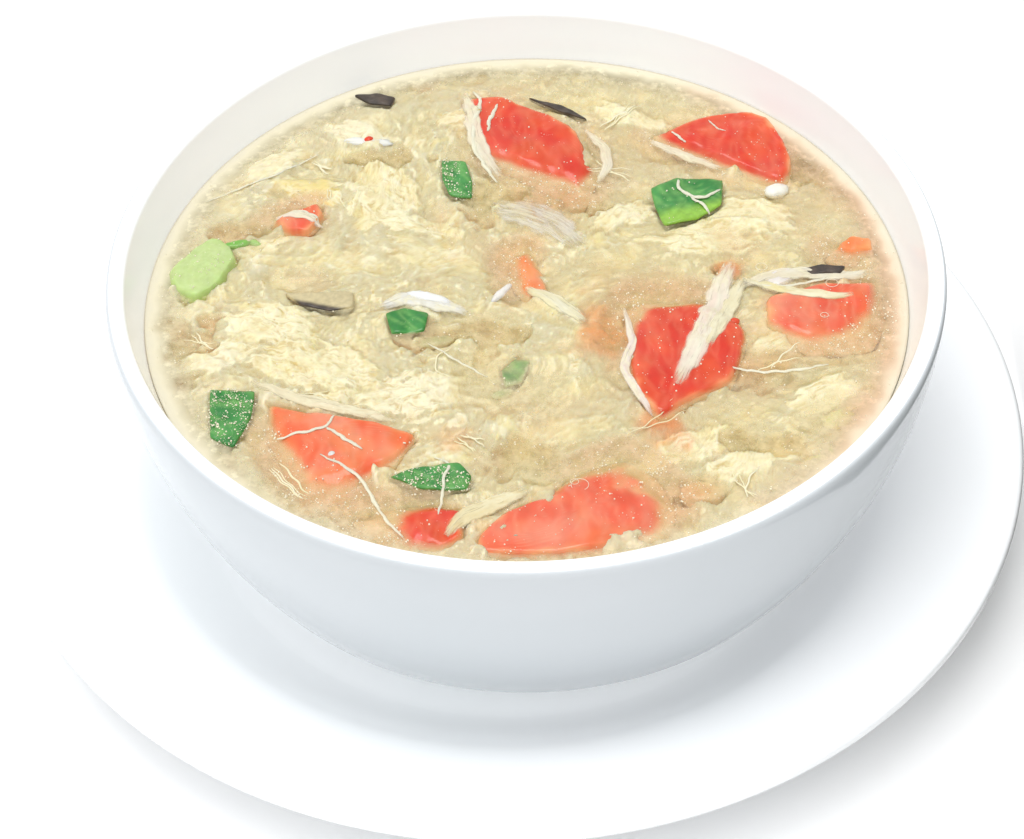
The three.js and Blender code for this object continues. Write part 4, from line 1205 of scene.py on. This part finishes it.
def drape(heap, knots, half_width, low_tone, high_tone, lift, seed, solid=0.85):
    """A thin torn veil of set egg that follows whatever is beneath it and thins out at its edges."""
    rows = 48
    columns = 15
    path = smooth_path(knots, rows)
    ahead = np.gradient(path, axis=0)
    ahead /= np.linalg.norm(ahead, axis=1)[:, None]
    side = np.stack([-ahead[:, 1], ahead[:, 0]], axis=1)
    t = np.linspace(0, 1, rows)
    run = t * np.linalg.norm(np.diff(path, axis=0), axis=1).sum()
    still = np.zeros(rows)
    body = half_width * (0.35 + 0.65 * np.sin(math.pi * t) ** 0.6)
    left = body * (1 + 0.35 * hills(run / 3, still, seed))
    right = body * (1 + 0.35 * hills(run / 3, still + 5, seed))
    share = np.linspace(-1, 1, columns)
    offset = np.where(share < 0, left[:, None] * share, right[:, None] * share)
    px = path[:, :1] + offset * side[:, :1]
    py = path[:, 1:] + offset * side[:, 1:]
    lengthwise = np.broadcast_to(run[:, None], px.shape)
    swayed = offset / 1.6 + 0.5 * hills(lengthwise / 5, offset / 4, seed + 2)
    folds = creases(swayed, lengthwise / 11, seed + 3)
    waves = hills(lengthwise / 3.4, offset / 5, seed + 4)
    middle = 1 - share ** 2
    height = read(SMOOTH_SURFACE, px, py) + 0.05 + (lift * (0.6 + 0.4 * waves) + 0.25 * folds) * middle
    streaks = np.clip(0.5 + 0.4 * folds + 0.4 * hills(offset / 1.5, lengthwise / 6, seed + 5), 0, 1)
    tints = blend(low_tone, high_tone, streaks.ravel())
    ends = np.sin(math.pi * np.clip(t, 0.02, 0.98)) ** 0.5
    alpha = solid * np.clip(1.6 * (1 - np.abs(share) ** 3) * ends[:, None], 0, 1)
    flow = np.stack([lengthwise / 5 + seed * 0.31, offset / 0.55, np.full(px.shape, seed * 0.17)], axis=2)
    thin_grid(heap, np.stack([px, py, height], axis=2), 0.15,
              np.concatenate([tints, alpha.reshape(-1, 1)], axis=1), flow.reshape(-1, 3))


# Torn veils of egg that lie on top: path, half width, shaded tone, pale tone and lift
DRAPES = [
    ([(43, 8), (40.5, 2), (38.5, -6), (35.5, -14), (32.5, -21), (29.5, -28)], 3.0, "#F4DCCC", "#FBF5DE",
     0.3),
    ([(45, 3), (42, -4), (39, -11), (36, -18)], 2.0, "#F1E3B4", "#F6F0D2", 0.4),
    ([(45, 2.8), (51, 0.4), (57, -2.2), (63, -3.4), (67, -3)], 1.5, "#F0DE8E", "#F6F0CE", 0.3),
    ([(44, 0.5), (50, 4), (58, 4.6), (66, 3), (72, 4.5)], 1.9, "#EBD9B4", "#F4EEDA", 0.3),
    ([(-12.5, 66), (-11, 58), (-10.5, 51), (-8, 44), (-5, 37)], 2.0, "#F0D9C0", "#F3ECD4", 0.3),
    ([(-30, -3), (-25, -0.5), (-18, -2.2), (-12, -5.5)], 2.3, "#E6E2D2", "#F5F4EC", 0.5),
    ([(0, 1.5), (4.5, -1.2), (8.5, -5), (12, -9)], 2.0, "#F0E3A6", "#F5F0D4", 0.5),
    ([(-16, -66), (-12.5, -61), (-6, -57.5), (-0.5, -54.8)], 2.2, "#EBD59A", "#F1E6BC", 0.3),
    ([(-7, 27.5), (0, 25.5), (6, 21.5), (12, 14)], 4.6, "#E9E2D4", "#F2EEE4", 0.2, 0.5),
    ([(-53, 25), (-49.5, 25.6), (-45.5, 24.2), (-42.5, 21.5)], 1.2, "#F0D6BA", "#F6EEDC", 0.3),
    ([(20, -5), (21.5, -15), (19, -22), (21.5, -29), (24.5, -36)], 1.1, "#F2DCCC", "#FAF2E6", 0.3),
    ([(-55, -24), (-46, -28.5), (-36, -32), (-26, -35.5)], 1.6, "#EFDDB4", "#F4EAC8", 0.2),
    ([(14, 52), (18, 46), (18.5, 40), (16, 34)], 1.4, "#F0DBB6", "#F4EAD2", 0.3),
    ([(28, 48), (32, 45), (37, 41.5), (43, 38)], 1.4, "#F0DBB6", "#F4EAD2", 0.3),
]


def draped_veils():
    heap = Heap()
    for number, veil in enumerate(DRAPES):
        drape(heap, *veil[:5], 500 + 10 * number, *veil[5:])
    heap.make("egg_veils", EGG_VEIL)


# Small bits in or on the surface: x, y, height, half length, half width, turn, colour
BITS = {
    "tomato_bits": (TOMATO, "tomato_orange", [
        (42.5, 6.4, -0.6, 3, 2.3, 0.2, "#EC7430"), (-53.4, 40.2, 0.2, 2.4, 0.9, 0.6, "#F0802E"),
        (32.7, -54.6, -1.1, 4.5, 3, 0, "#EDA040"), (-33.7, 50.4, 0.9, 1.1, 0.8, 0.2, "#E2401E"),
        (42.3, -9.7, 0.7, 1.0, 0.8, 0, "#E2502E"),
    ]),
    "green_bits": (LEAF, "leaf", [
        (-60.8, 17.8, 0.1, 3.4, 1.1, 0.2, "#7CB94C"), (-57.4, 18.6, -0.3, 2.4, 0.9, -0.4, "#8CC25C"),
        (-4.9, -27.1, -1.0, 2.3, 1.2, 0.3, "#4C9C48"), (-18.5, -11.5, -1.2, 4, 1.6, 0.2, "#4F8F44"),
    ]),
    "stalk_bits": (STALK, "stalk", [
        (60.9, -35.7, -1.5, 4.6, 3, 0.5, "#C0D27A"), (57.7, -45.1, -1.4, 5, 2.4, 0.6, "#C0D07A"),
    ]),
    "mushroom_flesh": (MUSHROOM, "mushroom", [
        (-43, 4.4, -0.9, 6.8, 3.4, 0.1, "#C4B58C"), (-33, 57.5, -0.6, 5, 2.5, -0.2, "#B9B091"),
    ]),
    "egg_white_bits": (EGG_THREAD, "egg", [
        (-34.4, 50.2, 0.45, 6.2, 1.5, -0.1, "#F2F0E4"), (54.1, 30.7, 0.8, 2.8, 1.9, 0.3, "#F4F0E2"),
        (52.5, 3.5, 0.3, 4.6, 2.6, 0.6, "#EFE6DC"), (-38.3, -44.6, 0.9, 1.1, 0.8, 0.9, "#F4EFE6"),
        (-20, -0.6, 0.9, 4.8, 1.3, -0.35, "#F4F4EE"), (-5, 0.5, 0.5, 3.4, 0.9, 0.9, "#EFE9E0"),
    ]),
}


def pebble(heap, x, y, height, half_long, half_wide, turn, colour, seed):
    """A small uneven lump, flatter than wide, whose top lies at the given height over the soup's level."""
    ring_count = 9
    angles = 2 * math.pi * np.arange(18) / 18
    half_high = 0.45 * half_wide + 0.25
    rings = []
    for ring in range(ring_count):
        tilt = math.pi * (ring + 0.5) / ring_count
        reach = math.sin(tilt) ** 0.7
        along = half_long * reach * np.cos(angles)
        across = half_wide * reach * np.sin(angles)
        uneven = 1 + 0.22 * hills(along / 1.6, across / 1.6 + 3 * math.cos(tilt), seed)
        px = x + (along * math.cos(turn) - across * math.sin(turn)) * uneven
        py = y + (along * math.sin(turn) + across * math.cos(turn)) * uneven
        pz = LEVEL + height - half_high * (1 + math.cos(tilt) * uneven)
        rings.append(np.column_stack([px, py, pz]))
    top = LEVEL + height
    points, quads, tris = closed_rings(rings, (x, y, top - 2 * half_high), (x, y, top))
    points = points + FROM_AXIS
    shade = 1 + 0.12 * layered(points[:, 0] / 2, points[:, 1] / 2, seed + 1, 2)[:, None]
    heap.put(points, quads, tris, rgb(colour) * shade)


def small_bits():
    """Bits of tomato, green, stalk, mushroom and egg white, each kind in one piece."""
    for name, (material, slot, bits) in BITS.items():
        heap = Heap()
        for number, bit in enumerate(bits):
            pebble(heap, *bit, 400 + number)
        heap.make(name, material)


def bubble_rings():
    """The broken edges of larger bubbles: thin pale rings on the broth."""
    heap = Heap()
    spots = [(9.5, -53.9, 1.7), (8.5, -52.8, 0.8), (63, 0.5, 1.3), (60.5, -9, 0.8), (49, 6.5, 1.2),
             (-26, -33, 0.8)]
    for x, y, reach in spots:
        angles = np.linspace(0, 2 * math.pi, 17)
        path = np.column_stack([x + reach * np.cos(angles), y + 0.9 * reach * np.sin(angles), 0 * angles])
        path[:, 2] = read(SURFACE, x, y) + 0.12
        tube(heap, path, np.full(17, 0.06), 5, 1.0, rgb(FOAM_PALE))
    heap.make("bubble_rings", FOAM)


# Foam: tiny pale bubbles, thickest on tomato, leaf and clear broth
def foam_specks():
    random = np.random.RandomState(12)
    heap = Heap()
    golden = (1 + math.sqrt(5)) / 2
    corners = [(-1, golden, 0), (1, golden, 0), (-1, -golden, 0), (1, -golden, 0), (0, -1, golden),
               (0, 1, golden), (0, -1, -golden), (0, 1, -golden), (golden, 0, -1), (golden, 0, 1),
               (-golden, 0, -1), (-golden, 0, 1)]
    ball = np.array(corners) / math.hypot(1, golden)
    faces = np.array([
        (0, 11, 5), (0, 5, 1), (0, 1, 7), (0, 7, 10), (0, 10, 11), (1, 5, 9), (5, 11, 4), (11, 10, 2),
        (10, 7, 6), (7, 1, 8), (3, 9, 4), (3, 4, 2), (3, 2, 6), (3, 6, 8), (3, 8, 9), (4, 9, 5), (2, 4, 11),
        (6, 2, 10), (8, 6, 7), (9, 8, 1)])
    small_ball = np.array([(1, 0, 0), (0, 1, 0), (-1, 0, 0), (0, -1, 0), (0, 0, 1), (0, 0, -1)], float)
    small_faces = np.array([
        (0, 1, 4), (1, 2, 4), (2, 3, 4), (3, 0, 4), (1, 0, 5), (2, 1, 5), (3, 2, 5), (0, 3, 5)])
    clusters = eased(layered(ACROSS / 4, ALONG / 4, 130, 3), -0.1, 0.8)
    foamy = 0.02 + 0.5 * (1 - COVER) * clusters + 0.1 * eased(murk(), 0.3, 1.2) * clusters
    foamy += 0.25 * eased(ACROSS - 0.5 * np.abs(ALONG) + 4 * RAGGED, 45, 66) * clusters
    for piece in TOMATOES.values():
        inside = inside_map(piece.outline)
        dipping = piece.shade_side(ACROSS, ALONG)
        on_top = eased(inside, 0.5, 2.0) * (1 - dipping)
        foamy = foamy * (1 - 0.85 * on_top) + 0.012 * on_top
        foamy += 0.75 * (1 - eased(np.abs(inside + 0.5), 0.5, 5.0)) * dipping * (0.25 + 0.75 * clusters)
    for name in ("leaf_left", "leaf_front", "leaf_back_left"):
        foamy = foamy + 0.8 * (inside_map(outline_through(LEAVES[name], 24)) > -0.5)
    tries = 110000
    radius = 77.5 * np.sqrt(random.uniform(size=tries))
    angle = random.uniform(0, 2 * math.pi, tries)
    x = radius * np.cos(angle)
    y = radius * np.sin(angle)
    kept = np.nonzero(random.uniform(size=tries) < read(foamy, x, y))[0][:22000]
    x = x[kept]
    y = y[kept]
    size = 0.06 + 0.17 * random.uniform(size=len(kept)) ** 3
    height = read(SURFACE, x, y) + 0.2 * size
    for spot_x, spot_y, spot_z, reach in zip(x, y, height, size):
        large = reach > 0.18
        points = (ball if large else small_ball) * reach + np.array([BOWL_X + spot_x, spot_y, spot_z])
        heap.put(points, [], faces if large else small_faces, rgb(FOAM_PALE))
    heap.make("foam_specks", FOAM)


# Dishes
def plate_profile():
    lip = PLATE_LIP / 2
    return rounded([
        (0, PLATE_UNDERSIDE), (PLATE_FOOT_INNER - 1, PLATE_UNDERSIDE), (PLATE_FOOT_INNER, 0),
        (PLATE_FOOT_OUTER - 1, 0), (PLATE_FOOT_OUTER + 1, 2), (76, 6.4), (85, 12.6),
        (98, PLATE_RIM_TOP - PLATE_LIP - 3.4), (PLATE_RADIUS - lip, PLATE_RIM_TOP - PLATE_LIP),
        (PLATE_RADIUS, PLATE_RIM_TOP - PLATE_LIP + 0.3), (PLATE_RADIUS, PLATE_RIM_TOP),
        (PLATE_RADIUS - 1.5 * lip, PLATE_RIM_TOP), (98, PLATE_RIM_TOP - 3.2), (84, PLATE_RIM_TOP - 8.6),
        (76, 10.6), (70, 7), (WELL_RADIUS, PLATE_FLOOR), (0, PLATE_FLOOR),
    ])


def bowl_profile():
    profile = [
        (0, BOWL_BASE + 1.2), (BOWL_FOOT_INNER, BOWL_BASE + 1.2), (BOWL_FOOT_INNER + 1, BOWL_BASE),
        (BOWL_FOOT_OUTER - 1, BOWL_BASE), (BOWL_FOOT_OUTER, BOWL_BASE + BOWL_FOOT_HEIGHT),
        (60.5, BOWL_BASE + BOWL_FOOT_HEIGHT + 1.9),
    ]
    for step in range(9, 0, -1):
        depth = 57.0 * (step / 9) ** 1.1
        profile.append((BOWL_RADIUS - BOWL_CURVE * depth * depth, BOWL_RIM - depth))
    profile += [
        (BOWL_RADIUS, BOWL_RIM), (BOWL_RADIUS - LIP_THICKNESS / 2, BOWL_RIM),
        (BOWL_RADIUS - LIP_THICKNESS, BOWL_RIM),
    ]
    for step in range(8):
        depth = 2 + (SOUP_DEEPEST - 2) * step / 7
        profile.append((inner_radius(depth), BOWL_RIM - depth))
    foot = inner_radius(SOUP_DEEPEST)
    floor = BOWL_BASE + BOWL_FOOT_HEIGHT + BOWL_FLOOR_THICKNESS
    profile += [(foot - 7, floor + 3.4), (foot - 17, floor + 0.5), (foot - 28, floor), (0, floor)]
    return rounded(profile)


def dishes():
    """The plate and the bowl, whose outside takes a greyer copy of the glaze than its inside: painted shade
    on the outer wall.
    """
    points, quads, tris = turned_piece(plate_profile(), 0)
    make_piece("glazed_plate", points, quads, tris, [GLAZE], replaces=["plate"])
    profile = bowl_profile()
    points, quads, tris = turned_piece(profile, BOWL_X)
    crest = np.argmax([height for _, height in profile]) - 1
    inside = np.concatenate([faces.min(axis=1) // TURNED_SIDES >= crest for faces in (quads, tris)])
    make_piece("glazed_bowl", points, quads, tris, [OUTER_GLAZE_PAINTED_SHADE, GLAZE], replaces=["bowl"],
               face_material=inside.astype(int))


def film_shade(x, y):
    """Colour and cloudiness of the broth's surface: cloudier where it is deeper, warmer beside tomato."""
    colour = blend(BROTH_TAN, BROTH_MILKY, blurred(COVER, 2.5))
    cloud = 0.42 * eased(LEVEL - SOLID_TOPS, 0.0, 1.8)
    for piece in TOMATOES.values():
        beside = 1 - eased(np.abs(inside_map(piece.outline, 9.0) + 1.2 * RAGGED + 1.0), 0.5, 6.0)
        halo = beside * (0.25 + 0.75 * piece.shade_side(ACROSS, ALONG))
        colour = blend(colour, BROTH_BLUSH, 0.5 * halo)
    colour = glowing(colour)
    # Near the wall the surface turns pale and cloudy: partly white glaze seen through shallow broth, partly
    # painted light against the wall's shade
    away = np.hypot(ACROSS, ALONG) + 0.9 * RAGGED
    cloud = np.maximum(cloud, 0.9 * eased(away, 66.0, 78.2) ** 1.3)
    pale = blend(BROTH_BY_WALL_WITH_PAINTED_LIGHT, "#EDC9A6", eased(ACROSS / 78 + 0.2 * LUMPS, 0.3, 1.0))
    pale = blend(pale, "#ECE4CC", eased(away, 74.5, 78.8))
    colour = blend(colour, pale, eased(away, 67.0, 75.0))
    return np.concatenate([read(colour, x, y), read(cloud, x, y)[:, None]], axis=1)


def broth():
    """A see-through surface over the floating food and a cloudy body below, reaching into the wall."""
    count = 250
    edge = inner_radius(SOUP_BELOW_RIM) + INTO_WALL
    x, y = disc_grid(count, count, edge)
    quads = [grid_quads(count, count)]
    top = np.column_stack([x, y, np.full(len(x), LEVEL)])
    loop = grid_edge(count, count)
    sides = len(loop)
    around = top[loop, :2] / edge
    floor = BOWL_BASE + BOWL_FOOT_HEIGHT + BOWL_FLOOR_THICKNESS - INTO_WALL
    depths = np.linspace(SOUP_BELOW_RIM, SOUP_DEEPEST, 7)[1:]
    profile = [(inner_radius(depth) + INTO_WALL, BOWL_RIM - depth) for depth in depths]
    profile.append((inner_radius(SOUP_DEEPEST) - 20, floor))
    points = [top]
    upper = loop
    steps = np.arange(sides)
    for number, (radius, height) in enumerate(profile):
        points.append(np.column_stack([around * radius, np.full(sides, height)]))
        lower = len(top) + number * sides + steps
        quads.append(np.stack([upper, lower, np.roll(lower, -1), np.roll(upper, -1)], axis=1))
        upper = lower
    points = np.concatenate([*points, [[0, 0, floor]]])
    fan = np.stack([np.full(sides, len(points) - 1), np.roll(upper, -1), upper], axis=1)
    material = np.ones(sum(len(q) for q in quads) + sides, int)
    material[:len(quads[0])] = 0
    shade = film_shade(points[:, 0], points[:, 1])
    make_piece("broth", points + FROM_AXIS, np.concatenate(quads), fan, [BROTH_FILM, BROTH_BODY], shade,
               replaces=["soup"], face_material=material)


# Camera: fitted to the bowl's rim and the plate's edge in the photograph
PHOTO_WIDTH = 1024
FOCAL_PIXELS = 2500.0
SENSOR_MM = 36.0
CAMERA_DISTANCE = 507.8
CAMERA_ELEVATION = math.radians(42.23)
CAMERA_ROLL = math.radians(-1.70)
LOOK_RIGHT = math.radians(-0.38)
LOOK_UP = math.radians(-3.74)


def camera():
    """The photo's view, set by how far, how high and how turned it looks at the middle of the rim."""
    rim_centre = Vector((BOWL_X, 0, BOWL_RIM)) * MM
    towards = Vector((0, -math.cos(CAMERA_ELEVATION), math.sin(CAMERA_ELEVATION)))
    right = Vector((1, 0, 0))
    forward = -towards
    up = right.cross(forward)
    forward = (forward + math.tan(LOOK_RIGHT) * right + math.tan(LOOK_UP) * up).normalized()
    level_right = forward.cross(Vector((0, 0, 1))).normalized()
    level_up = level_right.cross(forward)
    right = math.cos(CAMERA_ROLL) * level_right + math.sin(CAMERA_ROLL) * level_up
    up = math.cos(CAMERA_ROLL) * level_up - math.sin(CAMERA_ROLL) * level_right
    data = bpy.data.cameras.new("camera")
    data.lens = FOCAL_PIXELS * SENSOR_MM / PHOTO_WIDTH
    data.sensor_width = SENSOR_MM
    data.sensor_fit = "HORIZONTAL"
    data.clip_end = 20
    item = bpy.data.objects.new("camera", data)
    turn = Matrix((right, up, -forward)).transposed().to_4x4()
    item.matrix_world = Matrix.Translation(rim_centre + towards * CAMERA_DISTANCE * MM) @ turn
    bpy.context.scene.collection.objects.link(item)
    bpy.context.scene.camera = item


def area_light(name, place, aim, size, power):
    data = bpy.data.lights.new(name, "AREA")
    data.shape = "DISK"
    data.size = size
    data.energy = power
    item = bpy.data.objects.new(name, data)
    direction = Vector(aim) - Vector(place)
    item.matrix_world = Matrix.Translation(place) @ direction.to_track_quat("-Z", "Y").to_matrix().to_4x4()
    bpy.context.scene.collection.objects.link(item)
    return item


def light_only(lamp, things):
    """The lamp lights these things alone, and nothing else throws a shadow in its light."""
    for part in ("receiver", "blocker"):
        group = bpy.data.collections.new(lamp.name + "_" + part)
        for thing in things:
            group.objects.link(thing)
        setattr(lamp.light_linking, part + "_collection", group)


def dark_card():
    """A dark card with soft edges, low on the right, which the glaze mirrors and the camera doesn't see."""
    count = 12
    along, up = [side.ravel() for side in np.meshgrid(np.linspace(0, 1, count), np.linspace(0, 1, count))]
    points = np.column_stack([0.117 + 0.028 * up, 0.09 - 0.24 * along, 0.001 + 0.13 * up])
    mesh = bpy.data.meshes.new("olive_card")
    mesh.from_pydata(points.tolist(), [], grid_quads(count, count).tolist())
    cover = np.sin(math.pi * along) ** 0.8 * np.clip(1.6 * (1 - up), 0, 1)
    mesh.attributes.new("cover", "FLOAT", "POINT").data.foreach_set("value", cover)
    card = bpy.data.objects.new("olive_card", mesh)
    material, tree = new_material("olive_card")
    shown = add(tree, "ShaderNodeAttribute", {"attribute_name": "cover"})
    clear = add(tree, "ShaderNodeBsdfTransparent")
    paint = add(tree, "ShaderNodeBsdfDiffuse", {"Color": linear("#33372A")})
    links = {0: shown.outputs["Fac"], 1: clear.outputs[0], 2: paint.outputs[0]}
    faded = add(tree, "ShaderNodeMixShader", links=links)
    add(tree, "ShaderNodeOutputMaterial", links={"Surface": faded.outputs[0]})
    mesh.materials.append(material)
    bpy.context.scene.collection.objects.link(card)
    card.visible_camera = False
    card.visible_shadow = False


def studio():
    """Soft light from above and the left, the floor, the lamps and the card."""
    world = bpy.data.worlds.new("studio")
    bpy.context.scene.world = world
    world.use_nodes = True
    tree = world.node_tree
    tree.nodes.clear()
    direction = add(tree, "ShaderNodeTexCoord").outputs["Generated"]
    parts = add(tree, "ShaderNodeSeparateXYZ", links={0: direction})
    settings = {"From Min": -1.0, "From Max": 1.0, "To Min": 1.25, "To Max": 0.5}
    sideways = add(tree, "ShaderNodeMapRange", settings, {"Value": parts.outputs["X"]})
    settings = {"From Min": 0.0, "From Max": 1.0, "To Min": 0.5, "To Max": 1.2}
    upward = add(tree, "ShaderNodeMapRange", settings, {"Value": parts.outputs["Z"]})
    both = {0: sideways.outputs[0], 1: upward.outputs[0]}
    strength = add(tree, "ShaderNodeMath", {"operation": "MULTIPLY"}, both)
    settings = {"Color": (0.97, 0.985, 1.0, 1.0)}
    sky = add(tree, "ShaderNodeBackground", settings, {"Strength": strength.outputs[0]})
    add(tree, "ShaderNodeOutputWorld", links={"Surface": sky.outputs[0]})
    area_light("overhead_softbox", (-0.12, -0.05, 1.2), (0, 0, 0.05), 0.7, 5)
    mesh = bpy.data.meshes.new("floor")
    corners = [(-3.0, -3.0, 0), (3.0, -3.0, 0), (3.0, 3.0, 0), (-3.0, 3.0, 0)]
    mesh.from_pydata(corners, [], [(0, 1, 2, 3)])
    floor = bpy.data.objects.new("floor", mesh)
    material, floor_tree = new_material("pale_floor")
    settings = {"Base Color": linear(FLOOR_PALE), "Roughness": 0.7}
    surface = add(floor_tree, "ShaderNodeBsdfPrincipled", settings)
    add(floor_tree, "ShaderNodeOutputMaterial", links={"Surface": surface.outputs[0]})
    mesh.materials.append(material)
    bpy.context.scene.collection.objects.link(floor)
    lamp = area_light("plate_fill", (0.05, -0.5, 1.0), (0, 0, 0), 0.6, 4)
    light_only(lamp, [floor, bpy.data.objects["glazed_plate"]])
    lamp = area_light("bowl_fill", (0.25, -0.08, 0.6), (-0.06, 0.03, 0.05), 0.25, 0.9)
    light_only(lamp, [bpy.data.objects["glazed_bowl"]])
    dark_card()
    view = bpy.context.scene.view_settings
    view.view_transform = "Standard"
    view.look = "None"
    view.exposure = 0.0


camera()
dishes()
broth()
egg_mat("egg_mat", CURD)
for name, piece in TOMATOES.items():
    chunk(name, piece, TOMATO, flesh_tint)
chunk("stalk", STALK_PIECE, STALK, stalk_tint)
for number, (name, corners) in enumerate(LEAVES.items()):
    shade = striped_leaf_tint if name == "leaf_back_right" else leaf_tint
    thin_piece(name, corners, LEAF, THIN_RISE.get(name, 0.6), 0.7, 0.5, shade, 300 + number)
for number, (name, corners) in enumerate(MUSHROOMS.items()):
    shade = capped_mushroom_tint if name == "mushroom_left" else mushroom_tint
    thin_piece(name, corners, MUSHROOM, 0.5, 1.1, 0.4, shade, 320 + number)
loose_strands()
named_threads()
draped_veils()
small_bits()
bubble_rings()
foam_specks()
studio()
